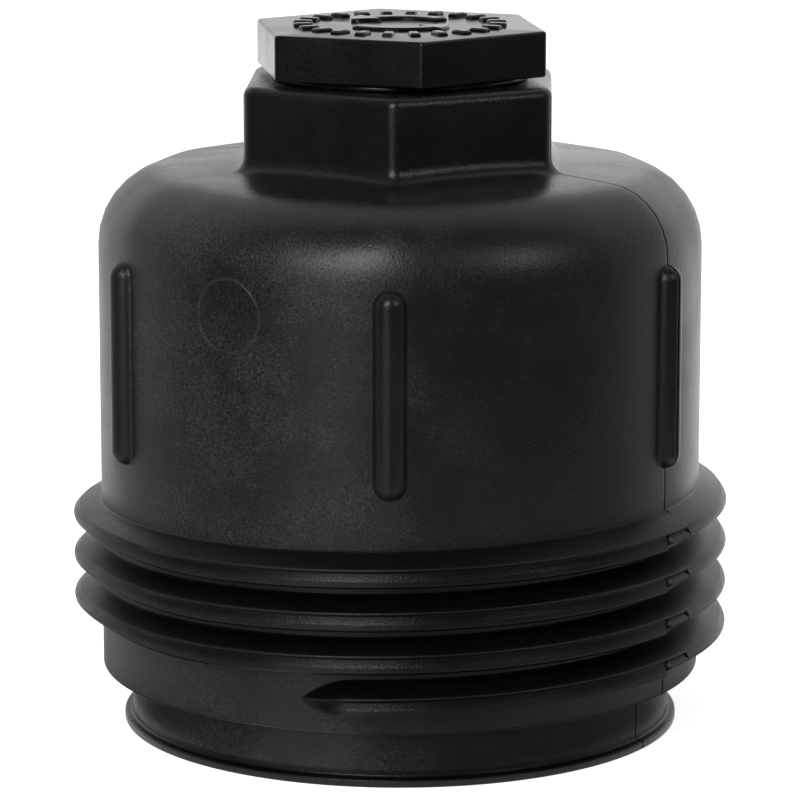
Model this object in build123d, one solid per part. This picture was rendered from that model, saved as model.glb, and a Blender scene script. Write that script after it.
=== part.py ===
"""Screw-on oil filter bowl with a hexagonal drain plug and a pull-out paper cartridge.

The bowl stands on its open mouth, +Z runs from the mouth to the drain plug, and the origin is the
centre of the mouth's end face.  Every size is in millimetres.  Each function makes one piece, and
each piece is written to parts/NAME.step as its own node.
"""
from build123d import *
from math import cos, pi, radians, sin, sqrt, tan
import os

# ------------------------------------------------------------------ clearances
running_gap = 0.1  # round parts that slide or turn in each other
soft_gap = 0.05  # rubber rings beside the wall they grip
seat_gap = 0.3  # parts that stop short of each other until they are pressed
free_gap = 0.4  # round parts that pass each other without guiding
thread_gap = 0.15  # plug thread in the boss, radially and on each flank

# ------------------------------------------------------------------ bowl wall
body_radius = 36.0
body_wall = 6.0
neck_wall = 2.5
neck_height = 7.0
rim_lip = 1.0  # how far the rim stands out from the neck, and its height
shoulder_height = 58.3  # where the straight wall ends
shoulder_radius = 9.0
deck_slope = 5.0  # degrees above level, from the shoulder up to the boss
ceiling_rise = 5.2  # from the end of the straight wall up to the inside ceiling
ceiling_corner_radius = 8.0

# ------------------------------------------------------------------ wrench boss
boss_margin = 2.0  # how far the boss's flats stand outside the plug's
boss_rise = 9.9333  # above the deck at the boss's corners
boss_corner_radius = 1.8
boss_edge_radius = 1.0
boss_depth = 2.0  # how far the boss's sides run on down into the deck

# ------------------------------------------------------------------ socket tube under the ceiling
tube_ledge = 0.25  # step from the boss's threaded hole out to the tube
tube_wall = 2.1
tube_length = 12.7
window_count = 4
window_width = 6.0
window_height = 4.0
window_roof = 1.0  # solid tube between the windows and the ceiling

# ------------------------------------------------------------------ bowl thread
thread_depth = 3.4
thread_pitch = 5.0
thread_crest_width = 1.85
thread_upper_flank = 1.45  # rise of the flank that faces the plug
thread_lower_flank = 0.8  # rise of the flank that faces the mouth
thread_crest_round = 0.3
thread_first_rise = 4.1  # from the neck's top to the crest's middle where the thread passes -Y
thread_lead_angle = 11.0  # degrees over which each end fades out
thread_start = -17.0  # degrees from -Y
thread_end = 1230.0
thread_root = 0.6  # how far the ridge is buried in the wall

# ------------------------------------------------------------------ grip ribs
rib_count = 6
rib_length = 24.0
rib_round = 1.85
rib_height = 1.6

# ------------------------------------------------------------------ drain plug and gasket
plug_head_height = 5.4
plug_corner_radius = 0.6
plug_edge_radius = 0.4
plug_angle = 10.0  # how far the plug's corners stand round from the boss's
plug_thread_radius = 12.0
plug_thread_depth = 1.1
plug_thread_crest = 0.25
plug_pitch = 2.0
plug_shank_clearance = 2.1  # from the ceiling up to the shank's end
plug_shank_wall = 3.4
plug_hollow_rise = 1.5  # how far the shank's hollow reaches into the head
gasket_thickness = 0.8
gasket_width = 3.0
gasket_inset = 0.7  # from the head's flats in to the gasket's edge
mark_height = 0.5
tick_radius = 11.6
tick_length = 2.2
tick_width = 1.2
tick_count = 24
arrow_radius = 6.2
arrow_width = 1.8
arrow_sweep = 120.0
arrow_head = 4.6

# ------------------------------------------------------------------ spring, plate, retaining ring
plate_travel = 3.0
ring_groove_depth = 0.6
ring_width = 2.6
ring_thickness = 1.2
ring_land = 1.5  # solid tube below the ring's groove
ring_opening = 36.0
ring_ear_radius = 1.7
ring_ear_hole = 0.7
plate_thickness = 1.0
plate_overhang = 3.1  # from the pressed ring out to the plate's edge
plate_hole_count = 8
plate_hole_radius = 1.6
spring_wire = 1.6
spring_offset = 2.3  # from the tube out to the coil's inside
spring_turns = 2.6

# ------------------------------------------------------------------ cartridge
cap_clearance = 3.2  # the oil's way between the caps and the bowl
cap_thickness = 1.4
cap_rim_wall = 0.9
cap_rim_height = 3.4
bottom_cap_bottom = 4.0
bond_thickness = 0.9
hub_wall = 2.1
hub_drop = 1.0  # from the tube's windows down to the hub's top
land_clearance = 1.1  # from the retaining ring's ears out to the pressed ring
land_width = 1.8
land_rib_count = 8
land_overlap = 0.4
grip_groove_depth = 1.1
grip_drop = 2.9  # from the hub's top to the grip ring's middle
core_outer_radius = 13.2
core_wall = 1.2
core_slot_columns = 8
core_slot_rows = 5
core_slot_width = 5.0
core_slot_height = 4.6
pleat_count = 44
pleat_rim_gap = 0.9  # from the caps' rims in to the folds
pleat_core_gap = 0.3
pleat_outer_fold = 1.5  # width of a fold across both layers
pleat_inner_fold = 1.1
paper_thickness = 0.45
clip_depth = 3.0
clip_wall = 0.3
band_height = 2.4
band_thickness = 0.4
outlet_radius = 10.0
outlet_waist_wall = 1.4
outlet_flange_wall = 2.6
outlet_flange_height = 2.4
outlet_lip_height = 1.5  # how far it stands above the cap's inside face
outlet_lead_in = 0.6
check_lip_thickness = 0.7
check_band_height = 2.4
check_band_thickness = 0.8

# ------------------------------------------------------------------ bypass valve
seat_radius = 6.2
seat_thickness = 1.2
poppet_overlap = 2.0  # how far the poppet reaches past its hole
poppet_thickness = 1.4
poppet_seal_thickness = 1.0
poppet_button_radius = 2.6
stem_radius = 2.0
stem_length = 11.0
bypass_spring_wire = 0.9
bypass_spring_radius = 4.6
bypass_spring_turns = 4.5
cage_floor_thickness = 1.2
cage_wall = 1.0
cage_height = 4.2
cage_hole_count = 6
cage_hole_radius = 1.5

# ------------------------------------------------------------------ sizes that follow: hexagons
gasket_inner_radius = plug_thread_radius + seat_gap
gasket_radius = gasket_inner_radius + gasket_width
plug_across_flats = 2 * (gasket_radius + gasket_inset)  # 32
boss_across_flats = plug_across_flats + 2 * boss_margin  # 36

# ------------------------------------------------------------------ sizes that follow: bowl
bore_radius = body_radius - body_wall
neck_radius = bore_radius + neck_wall
rim_radius = neck_radius + rim_lip
shoulder_centre = body_radius - shoulder_radius
shoulder_end_radius = shoulder_centre + shoulder_radius * sin(radians(deck_slope))
shoulder_end_height = shoulder_height + shoulder_radius * cos(radians(deck_slope))
boss_corner = boss_across_flats / sqrt(3)
deck_rise = tan(radians(deck_slope))
boss_foot = shoulder_end_height + (shoulder_end_radius - boss_corner) * deck_rise
boss_height = boss_foot + boss_rise
ceiling_height = shoulder_height + ceiling_rise
thread_crest_radius = body_radius + thread_depth
thread_first_height = neck_height + thread_first_rise
rib_bottom = shoulder_height - rib_length

# ------------------------------------------------------------------ sizes that follow: plug
gasket_top = boss_height + gasket_thickness
plug_top = gasket_top + plug_head_height
plug_core = plug_thread_radius - plug_thread_depth
plug_shank_bottom = ceiling_height + plug_shank_clearance
plug_thread_bottom = plug_shank_bottom + plug_pitch
plug_thread_top = boss_height - plug_pitch / 2
boss_bore = plug_core + 2 * thread_gap

# ------------------------------------------------------------------ sizes that follow: tube and plate
tube_inner_radius = plug_thread_radius + thread_gap + tube_ledge
tube_outer_radius = tube_inner_radius + tube_wall
tube_bottom = ceiling_height - tube_length
window_top = ceiling_height - window_roof
window_bottom = window_top - window_height
ring_bottom = tube_bottom + ring_land
ring_top = ring_bottom + ring_thickness
ring_ear_circle = tube_outer_radius + ring_ear_radius + running_gap
plate_bottom = ring_top
plate_top = plate_bottom + plate_thickness
spring_radius = tube_outer_radius + spring_offset + spring_wire / 2

# ------------------------------------------------------------------ sizes that follow: cartridge
cap_radius = bore_radius - cap_clearance
cap_rim_inner = cap_radius - cap_rim_wall
top_cap_top = tube_bottom - plate_travel - 0.5
top_cap_bottom = top_cap_top - cap_thickness
bottom_cap_top = bottom_cap_bottom + cap_thickness
media_bottom = bottom_cap_top + bond_thickness
media_top = top_cap_bottom - bond_thickness
land_inner = ring_ear_circle + ring_ear_radius + land_clearance
land_outer = land_inner + land_width
plate_radius = land_outer + plate_overhang
hub_radius = tube_inner_radius - free_gap
hub_inner_radius = hub_radius - hub_wall
hub_top = window_bottom - hub_drop
grip_height = hub_top - grip_drop
grip_section_radius = (free_gap + grip_groove_depth) / 2 - soft_gap
pleat_outer_radius = cap_rim_inner - pleat_rim_gap
pleat_inner_radius = core_outer_radius + pleat_core_gap
core_inner_radius = core_outer_radius - core_wall
check_lip_radius = bore_radius - seat_gap

# ------------------------------------------------------------------ sizes that follow: bypass valve
seat_bottom = hub_top - seat_thickness
poppet_radius = seat_radius + poppet_overlap
poppet_top = seat_bottom - poppet_seal_thickness
poppet_bottom = poppet_top - poppet_thickness
cage_floor_top = top_cap_bottom + cage_floor_thickness
cage_inner_radius = hub_inner_radius - cage_wall
cage_hole_circle = cage_inner_radius - cage_hole_radius - 0.2


# ------------------------------------------------------------------ helpers
def ring_solid(outer, inner, bottom, top):
    """A plain ring about Z between two heights."""
    height = top - bottom
    blank = Pos(0, 0, bottom) * Cylinder(outer, height, align=(Align.CENTER, Align.CENTER, Align.MIN))
    hole = Pos(0, 0, bottom) * Cylinder(inner, height, align=(Align.CENTER, Align.CENTER, Align.MIN))
    return blank - hole


def disc(radius, bottom, top):
    """A plain disc about Z between two heights."""
    return Pos(0, 0, bottom) * Cylinder(radius, top - bottom, align=(Align.CENTER, Align.CENTER, Align.MIN))


def block(width, depth, bottom, top, x=0.0, y=0.0):
    """A box centred on (x, y) between two heights."""
    return Pos(x, y, bottom) * Box(width, depth, top - bottom, align=(Align.CENTER, Align.CENTER, Align.MIN))


def turned(section):
    """A section in the XZ plane turned once about Z."""
    return revolve(section, Axis.Z)


def closed_section(*points):
    """A flat face in the XZ plane from (radius, height) corners."""
    return Plane.XZ * make_face(Polyline(*points, close=True))


def around(count, shape, first=0.0):
    """Copies of a shape spaced evenly about Z."""
    return [Rot(0, 0, first + 360.0 * k / count) * shape for k in range(count)]


def helical_ridge(section, pitch, start, end, start_height):
    """Sweeps an XZ section up a right-hand helix about Z.

    start and end are angles in degrees from +X, and start_height is the height of the section's
    own zero at the start angle.
    """
    turns = (end - start) / 360.0
    radius = section.bounding_box().max.X
    path = Edge.make_helix(pitch, pitch * turns, radius)
    ridge = sweep(section, path=path, is_frenet=True)
    return Rot(0, 0, start) * Pos(0, 0, start_height) * ridge


def coil(radius, wire, bottom, top, turns):
    """A compression spring of round wire with both ends ground flat on its seats."""
    climb = top - bottom - wire / 2
    path = Edge.make_helix(climb / turns, climb, radius)
    section = Plane(origin=path @ 0, z_dir=path % 0) * Circle(wire / 2)
    wound = Pos(0, 0, bottom + wire / 4) * sweep(section, path=path, is_frenet=True)
    return wound & ring_solid(radius + wire, radius - wire, bottom, top)


# ------------------------------------------------------------------ bowl
def bowl_body():
    """The bowl's outer body below the boss, before it is hollowed."""
    bend = radians((90 - deck_slope) / 2)
    middle = (shoulder_centre + shoulder_radius * cos(bend), shoulder_height + shoulder_radius * sin(bend))
    shoulder_end = (shoulder_end_radius, shoulder_end_height)
    peak = (0, shoulder_end_height + shoulder_end_radius * deck_rise)
    outline = [
        Line((0, 0), (rim_radius, 0)),
        Line((rim_radius, 0), (rim_radius, rim_lip)),
        Line((rim_radius, rim_lip), (neck_radius, rim_lip)),
        Line((neck_radius, rim_lip), (neck_radius, neck_height)),
        Line((neck_radius, neck_height), (body_radius, neck_height)),
        Line((body_radius, neck_height), (body_radius, shoulder_height)),
        ThreePointArc((body_radius, shoulder_height), middle, shoulder_end),
        Line(shoulder_end, peak),
        Line(peak, (0, 0)),
    ]
    return turned(Plane.XZ * make_face(outline))


def boss():
    """The hexagonal wrench boss, one corner towards -Y."""
    outline = Rot(0, 0, -90) * RegularPolygon(boss_corner, 6)
    outline = fillet(outline.vertices(), boss_corner_radius)
    base = boss_foot - boss_depth
    prism = Pos(0, 0, base) * extrude(outline, boss_height - base)
    return fillet(prism.faces().sort_by(Axis.Z)[-1].edges(), boss_edge_radius)


def cavity():
    """The space inside the bowl, around its central tube."""
    corner = bore_radius - ceiling_corner_radius
    bend = sqrt(0.5) * ceiling_corner_radius
    knee = ceiling_height - ceiling_corner_radius
    outline = [
        Line((0, 0), (bore_radius, 0)),
        Line((bore_radius, 0), (bore_radius, knee)),
        ThreePointArc((bore_radius, knee), (corner + bend, knee + bend), (corner, ceiling_height)),
        Line((corner, ceiling_height), (0, ceiling_height)),
        Line((0, ceiling_height), (0, 0)),
    ]
    return turned(Plane.XZ * make_face(outline))


def socket_tube():
    """The tube under the ceiling that the cartridge's hub slides in."""
    tube = ring_solid(tube_outer_radius, tube_inner_radius, tube_bottom, ceiling_height)
    groove_floor = tube_outer_radius - ring_groove_depth
    tube -= ring_solid(tube_outer_radius + 1, groove_floor, ring_bottom, ring_top)
    window = block(tube_wall * 3, window_width, window_bottom, window_top, x=tube_outer_radius)
    return tube - around(window_count, window, 45)


def bowl_thread():
    """The coarse thread that holds the bowl in its filter head."""
    half = thread_crest_width / 2
    upper = thread_upper_flank * (1 + thread_root / thread_depth)
    lower = thread_lower_flank * (1 + thread_root / thread_depth)
    buried = body_radius - thread_root
    outline = make_face(
        Polyline(
            (buried, half + upper),
            (thread_crest_radius, half),
            (thread_crest_radius, -half),
            (buried, -half - lower),
            close=True,
        )
    )
    crest = outline.vertices().group_by(Axis.X)[-1]
    section = Plane.XZ * fillet(crest, thread_crest_round)
    start_height = thread_first_height + thread_pitch * thread_start / 360
    ridge = helical_ridge(section, thread_pitch, thread_start - 90, thread_end - 90, start_height)
    return ridge - fade_cut(thread_start, thread_lead_angle) - fade_cut(thread_end, -thread_lead_angle)


def fade_cut(angle, lead):
    """A block whose flat face fades the ridge from the wall, at angle, to full height at angle + lead.

    Both angles are in degrees from -Y.
    """
    low = Vector(body_radius, 0).rotate(Axis.Z, angle - 90)
    high = Vector(thread_crest_radius, 0).rotate(Axis.Z, angle + lead - 90)
    face_middle = (low + high) / 2
    along = (high - low).normalized()
    outward = Vector(along.Y, -along.X) if lead > 0 else Vector(-along.Y, along.X)
    if outward.dot(face_middle) < 0:
        outward = outward * -1
    reach = 2 * (high - low).length
    level = thread_first_height + thread_pitch * angle / 360
    cutter = Plane(origin=(face_middle.X, face_middle.Y, level), x_dir=along, z_dir=(0, 0, 1))
    width = Box(reach, reach, 2 * thread_pitch * 0.9)
    side = 1 if cutter.y_dir.dot(outward) > 0 else -1
    return cutter * Pos(0, side * reach / 2, 0) * width


def grip_ribs():
    """The round-ended ribs on the body's outside."""
    axis_radius = body_radius + rib_height - rib_round
    straight = rib_length - 2 * rib_round
    lower_end = rib_bottom + rib_round
    shaft = Pos(0, 0, lower_end) * Cylinder(
        rib_round, straight, align=(Align.CENTER, Align.CENTER, Align.MIN)
    )
    ends = [Pos(0, 0, lower_end) * Sphere(rib_round), Pos(0, 0, lower_end + straight) * Sphere(rib_round)]
    rib = shaft + ends
    return around(rib_count, Pos(axis_radius, 0, 0) * rib, -90)


def boss_thread():
    """The thread ridge inside the boss that the drain plug screws into."""
    groove_half = plug_thread_crest / 2 + thread_gap
    wall = plug_thread_radius + thread_gap
    root = wall + 0.1
    root_half = plug_pitch / 2 - groove_half + (root - wall) * tan(radians(30))
    crest_half = root_half - (root - boss_bore) * tan(radians(30))
    section = closed_section(
        (root, root_half), (boss_bore, crest_half), (boss_bore, -crest_half), (root, -root_half)
    )
    return screw_ridge(section, plug_pitch / 2, ceiling_height + 1, boss_height - 1)


def plug_thread():
    """The drain plug's thread ridge."""
    crest_half = plug_thread_crest / 2
    root = plug_core - 0.1
    root_half = crest_half + (plug_thread_radius - root) * tan(radians(30))
    crest = plug_thread_radius
    section = closed_section(
        (root, root_half), (crest, crest_half), (crest, -crest_half), (root, -root_half)
    )
    return screw_ridge(section, 0.0, plug_thread_bottom, plug_thread_top)


def screw_ridge(section, offset, bottom, top):
    """A ridge of the plug's pitch that passes +X at offset above whole multiples of the pitch."""
    start = 360.0 * (((bottom - offset) / plug_pitch) % 1.0)
    return helical_ridge(section, plug_pitch, start, start + 360.0 * (top - bottom) / plug_pitch, bottom)


def make_bowl():
    """The moulded bowl: wall, boss, thread, ribs and socket tube in one piece."""
    shell = bowl_body() + boss()
    shell = shell - cavity() + socket_tube()
    shell -= disc(plug_thread_radius + thread_gap, ceiling_height - 1, boss_height + 1)
    shell += boss_thread()
    shell += grip_ribs()
    return shell + bowl_thread()


# ------------------------------------------------------------------ drain plug and its gasket
def plug_marks():
    """Raised turn marks on the plug: two arcs of ticks and a two-way arrow between them."""
    tick = block(tick_length, tick_width, plug_top, plug_top + mark_height, x=tick_radius)
    step = 360.0 / tick_count
    marks = [Rot(0, 0, step * k) * tick for k in range(tick_count)]
    half = arrow_sweep / 2
    for side in (90.0, 270.0):
        band = ring_solid(
            arrow_radius + arrow_width / 2, arrow_radius - arrow_width / 2, plug_top, plug_top + mark_height
        )
        reach = 2 * arrow_radius
        wedge = closed_wedge(side - half, side + half, reach)
        marks.append(band & wedge)
        tip = Polyline((-arrow_head / 2, 0), (arrow_head / 2, 0), (0, arrow_head * 0.8), close=True)
        head = Pos(arrow_radius, 0, plug_top) * extrude(make_face(tip), mark_height)
        marks.append(Rot(0, 0, side + half) * head)
    return marks


def closed_wedge(start, end, reach):
    """A wedge about Z between two angles, over the height of the plug's marks."""
    middle = (start + end) / 2
    corners = [(0, 0)]
    for angle in (start, middle, end):
        corners.append((reach * cos(radians(angle)), reach * sin(radians(angle))))
    return Pos(0, 0, plug_top) * extrude(make_face(Polyline(*corners, close=True)), mark_height)


def make_drain_plug():
    """The hexagonal plug with its hollow threaded shank."""
    outline = Rot(0, 0, plug_angle - 90) * RegularPolygon(plug_across_flats / sqrt(3), 6)
    outline = fillet(outline.vertices(), plug_corner_radius)
    head = Pos(0, 0, gasket_top) * extrude(outline, plug_head_height)
    head = fillet(head.faces().sort_by(Axis.Z)[-1].edges(), plug_edge_radius)
    shank = disc(plug_core, plug_shank_bottom, gasket_top)
    plug = head + shank + plug_thread()
    plug -= disc(plug_core - plug_shank_wall, plug_shank_bottom, gasket_top + plug_hollow_rise)
    return plug + plug_marks()


def make_plug_gasket():
    """The flat rubber washer under the plug's head."""
    washer = ring_solid(gasket_radius, gasket_inner_radius, boss_height, gasket_top)
    rims = washer.edges().filter_by(GeomType.CIRCLE)
    return fillet(rims.group_by(SortBy.RADIUS)[-1], gasket_thickness * 0.4)



# ------------------------------------------------------------------ spring, plate, retaining ring
def make_pressure_spring():
    """The coil that presses the cartridge towards the filter head."""
    return coil(spring_radius, spring_wire, plate_top, ceiling_height, spring_turns)


def make_spring_plate():
    """The pressed steel plate between the spring and the cartridge."""
    plate = ring_solid(plate_radius, tube_outer_radius + running_gap, plate_bottom, plate_top)
    hole_circle = (land_outer + plate_radius) / 2
    hole = Pos(hole_circle, 0, 0) * disc(plate_hole_radius, plate_bottom - 1, plate_top + 1)
    return plate - around(plate_hole_count, hole)


def make_retaining_ring():
    """The open steel ring in the tube's groove that stops the plate."""
    inner = tube_outer_radius - ring_groove_depth
    outer = inner + ring_width
    band = ring_solid(outer, inner, ring_bottom, ring_top)
    gap = 2 * outer * sin(radians(ring_opening / 2))
    band -= block(2 * outer, gap, ring_bottom, ring_top, x=outer)
    for side in (1, -1):
        ear_angle = side * (ring_opening / 2 + 5)
        ear = Pos(ring_ear_circle, 0, 0) * disc(ring_ear_radius, ring_bottom, ring_top)
        hole = Pos(ring_ear_circle, 0, 0) * disc(ring_ear_hole, ring_bottom, ring_top)
        band = band + Rot(0, 0, ear_angle) * ear - Rot(0, 0, ear_angle) * hole
    return band


# ------------------------------------------------------------------ cartridge
def make_top_end_cap():
    """The cartridge's cap on the plug's side, with its hub and the ring that the plate presses."""
    rim_foot = top_cap_top - cap_rim_height
    cap = disc(cap_radius, top_cap_bottom, top_cap_top)
    cap += ring_solid(cap_radius, cap_rim_inner, rim_foot, top_cap_top)
    cap += ring_solid(land_outer, land_inner, top_cap_top, plate_bottom - seat_gap)
    cap += land_ribs()
    cap += disc(hub_radius, top_cap_bottom, hub_top)
    cap -= disc(hub_inner_radius, top_cap_bottom, seat_bottom)
    cap -= disc(seat_radius, seat_bottom, hub_top)
    groove_half = grip_section_radius + soft_gap
    groove_floor = hub_radius - grip_groove_depth
    groove_foot = grip_height - groove_half
    return cap - ring_solid(hub_radius + 1, groove_floor, groove_foot, groove_foot + 2 * groove_half)


def land_ribs():
    """The low ribs from the pressed ring out to the cap's edge."""
    length = cap_rim_inner - land_outer + land_overlap
    middle = land_outer - land_overlap + length / 2
    rib = block(length, cap_rim_wall, top_cap_top, top_cap_top + cap_thickness, x=middle)
    return around(land_rib_count, rib)


def make_grip_ring():
    """The rubber ring on the hub that holds the cartridge in the bowl's tube."""
    middle = tube_inner_radius - soft_gap - grip_section_radius
    return Pos(0, 0, grip_height) * Torus(middle, grip_section_radius)


def make_bottom_end_cap():
    """The cartridge's cap on the mouth's side, with the hole that the outlet seal clips into."""
    hole = outlet_radius + outlet_waist_wall + soft_gap
    cap = ring_solid(cap_radius, hole, bottom_cap_bottom, bottom_cap_top)
    return cap + ring_solid(cap_radius, cap_rim_inner, bottom_cap_bottom, bottom_cap_bottom + cap_rim_height)


def make_outlet_seal():
    """The waisted rubber seal that the filter head's outlet spigot pushes into."""
    upper_radius = core_inner_radius - running_gap
    waist = outlet_radius + outlet_waist_wall
    flange = outlet_radius + outlet_flange_wall
    foot = bottom_cap_bottom - outlet_flange_height
    seal_top = bottom_cap_top + outlet_lip_height
    return turned(
        closed_section(
            (outlet_radius + outlet_lead_in, foot),
            (flange, foot),
            (flange, bottom_cap_bottom),
            (waist, bottom_cap_bottom),
            (waist, bottom_cap_top),
            (upper_radius, bottom_cap_top),
            (upper_radius, seal_top),
            (outlet_radius, seal_top),
            (outlet_radius, foot + outlet_lead_in),
        )
    )


def make_check_ring():
    """The rubber ring whose lip lets oil into the bowl and stops it draining back."""
    band_inner = cap_radius + soft_gap
    band_outer = band_inner + check_band_thickness
    foot = bottom_cap_bottom
    rise = check_lip_radius - band_outer
    return turned(
        closed_section(
            (band_inner, foot),
            (band_outer, foot),
            (check_lip_radius, foot + rise),
            (check_lip_radius, foot + rise + check_lip_thickness),
            (band_outer, foot + check_lip_thickness * sqrt(2)),
            (band_outer, foot + check_band_height),
            (band_inner, foot + check_band_height),
        )
    )


def make_bond(bottom, top):
    """A layer of adhesive that holds the paper in an end cap."""
    return ring_solid(cap_rim_inner, core_outer_radius + running_gap, bottom, top)


def make_bottom_bond():
    """The adhesive in the bottom end cap."""
    return make_bond(bottom_cap_top, media_bottom)


def make_top_bond():
    """The adhesive in the top end cap."""
    return make_bond(media_top, top_cap_bottom)


def make_centre_tube():
    """The slotted tube inside the paper."""
    tube = ring_solid(core_outer_radius, core_inner_radius, bottom_cap_top, top_cap_bottom)
    step = (media_top - media_bottom) / core_slot_rows
    cuts = []
    for row in range(core_slot_rows):
        low = media_bottom + step * (row + 0.5) - core_slot_height / 2
        slot = block(core_wall * 4, core_slot_width, low, low + core_slot_height, x=core_outer_radius)
        cuts += around(core_slot_columns, slot, 180.0 / core_slot_columns * (row % 2))
    return tube - cuts


def pleat_outline(inset):
    """The closed zigzag of the paper's outer surface, moved inwards by inset all round."""
    half_pitch = 180.0 / pleat_count
    inner_radius = pleat_inner_radius + paper_thickness - inset
    inner_half = pleat_inner_fold / 2 - paper_thickness + inset
    corners = []
    for k in range(pleat_count):
        outer = (pleat_outer_radius - inset, pleat_outer_fold / 2 - inset, 2 * half_pitch * k)
        inner = (inner_radius, inner_half, 2 * half_pitch * k + half_pitch)
        for radius, half, angle in (outer, inner):
            corners.append(Vector(radius, -half).rotate(Axis.Z, angle))
            corners.append(Vector(radius, half).rotate(Axis.Z, angle))
    return make_face(Polyline(*[(c.X, c.Y) for c in corners], close=True))


def make_pleated_media():
    """The folded filter paper."""
    wall = pleat_outline(0.0) - pleat_outline(paper_thickness)
    return Pos(0, 0, media_bottom) * extrude(wall, media_top - media_bottom)


def make_seam_clip():
    """The folded steel strip that joins the paper's two ends over one outer fold."""
    inner_half = pleat_outer_fold / 2 + soft_gap
    inner_face = pleat_outer_radius + soft_gap
    reach = clip_depth + clip_wall
    strip = block(
        reach, 2 * (inner_half + clip_wall), media_bottom, media_top, x=inner_face + clip_wall - reach / 2
    )
    return strip - block(
        clip_depth, 2 * inner_half, media_bottom, media_top, x=inner_face - clip_depth / 2
    )


def make_pleat_band():
    """The thin band round the middle of the paper that keeps its folds apart."""
    inner = pleat_outer_radius + soft_gap + clip_wall + soft_gap
    middle = (media_bottom + media_top) / 2
    return ring_solid(inner + band_thickness, inner, middle - band_height / 2, middle + band_height / 2)


# ------------------------------------------------------------------ bypass valve
def make_bypass_cage():
    """The cup pressed into the hub that guides the poppet's stem and carries its spring."""
    cage = disc(hub_inner_radius, top_cap_bottom, cage_floor_top)
    cage += ring_solid(hub_inner_radius, cage_inner_radius, top_cap_bottom, top_cap_bottom + cage_height)
    cage -= disc(stem_radius + running_gap, top_cap_bottom, cage_floor_top)
    hole = Pos(cage_hole_circle, 0, 0) * disc(cage_hole_radius, top_cap_bottom, cage_floor_top)
    return cage - around(cage_hole_count, hole)


def make_bypass_poppet():
    """The poppet that closes the hole in the hub's top, with its guide stem."""
    poppet = disc(poppet_radius, poppet_bottom, poppet_top)
    poppet += disc(poppet_button_radius, poppet_top, seat_bottom + seat_gap)
    return poppet + disc(stem_radius, poppet_bottom - stem_length, poppet_bottom)


def make_poppet_seal():
    """The rubber washer on the poppet's face."""
    return ring_solid(poppet_radius, poppet_button_radius + soft_gap, poppet_top, seat_bottom)


def make_bypass_spring():
    """The small coil between the cage's floor and the poppet."""
    return coil(
        bypass_spring_radius, bypass_spring_wire, cage_floor_top, poppet_bottom, bypass_spring_turns
    )


PIECES = {
    "bowl": make_bowl,
    "drain_plug": make_drain_plug,
    "plug_gasket": make_plug_gasket,
    "pressure_spring": make_pressure_spring,
    "spring_plate": make_spring_plate,
    "retaining_ring": make_retaining_ring,
    "grip_ring": make_grip_ring,
    "top_end_cap": make_top_end_cap,
    "bottom_end_cap": make_bottom_end_cap,
    "top_bond": make_top_bond,
    "bottom_bond": make_bottom_bond,
    "pleated_media": make_pleated_media,
    "seam_clip": make_seam_clip,
    "pleat_band": make_pleat_band,
    "centre_tube": make_centre_tube,
    "outlet_seal": make_outlet_seal,
    "check_ring": make_check_ring,
    "bypass_cage": make_bypass_cage,
    "bypass_poppet": make_bypass_poppet,
    "poppet_seal": make_poppet_seal,
    "bypass_spring": make_bypass_spring,
}

if __name__ == "__main__":
    os.makedirs("parts", exist_ok=True)
    for name, make in PIECES.items():
        export_step(make(), f"parts/{name}.step")
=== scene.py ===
"""Looks of a screw-on oil filter bowl with its drain plug and pull-out cartridge.

The bowl stands on its open mouth, and +Z runs up to the plug.  Sizes are in millimetres and become
metres only where a mesh is made.  Angles round the bowl are counted from -Y, positive towards +X.
"""
import logging
import math
from dataclasses import dataclass, field
from enum import Enum

import bmesh
import bpy
import numpy as np
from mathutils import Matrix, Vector


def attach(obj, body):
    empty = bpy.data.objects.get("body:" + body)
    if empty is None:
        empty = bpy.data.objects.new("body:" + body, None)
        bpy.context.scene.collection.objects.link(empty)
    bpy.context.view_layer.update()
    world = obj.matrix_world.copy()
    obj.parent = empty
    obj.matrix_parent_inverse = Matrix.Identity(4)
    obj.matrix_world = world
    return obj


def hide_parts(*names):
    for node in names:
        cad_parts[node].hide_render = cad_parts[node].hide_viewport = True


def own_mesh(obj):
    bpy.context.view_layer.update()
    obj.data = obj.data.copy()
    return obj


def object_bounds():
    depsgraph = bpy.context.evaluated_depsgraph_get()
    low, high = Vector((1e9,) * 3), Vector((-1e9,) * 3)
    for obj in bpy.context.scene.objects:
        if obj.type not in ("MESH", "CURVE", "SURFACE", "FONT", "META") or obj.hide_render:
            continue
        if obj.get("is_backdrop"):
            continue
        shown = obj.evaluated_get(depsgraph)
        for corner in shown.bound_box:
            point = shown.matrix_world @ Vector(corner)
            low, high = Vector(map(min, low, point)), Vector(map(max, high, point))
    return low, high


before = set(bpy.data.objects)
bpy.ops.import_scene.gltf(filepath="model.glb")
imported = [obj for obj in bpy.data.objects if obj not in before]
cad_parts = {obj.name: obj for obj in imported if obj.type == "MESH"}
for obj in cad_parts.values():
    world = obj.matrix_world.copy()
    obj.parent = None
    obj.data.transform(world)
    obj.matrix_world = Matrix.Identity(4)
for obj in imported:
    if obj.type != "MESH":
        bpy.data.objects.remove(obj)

log = logging.getLogger("filter_bowl")
CAD_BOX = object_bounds()
MM = 0.001
WELD = 1e-4  # points nearer than this in millimetres become one
LONGEST_REACH = 0.48  # share of a side that a bend at its end may take up
TURN = 2 * math.pi


class Body(Enum):
    """The moving groups that new pieces ride on."""

    BOWL = "bowl"
    GASKET = "plug_gasket"
    PLUG = "drain_plug"
    PLATE = "spring_plate"
    POPPET = "bypass_poppet"


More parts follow.
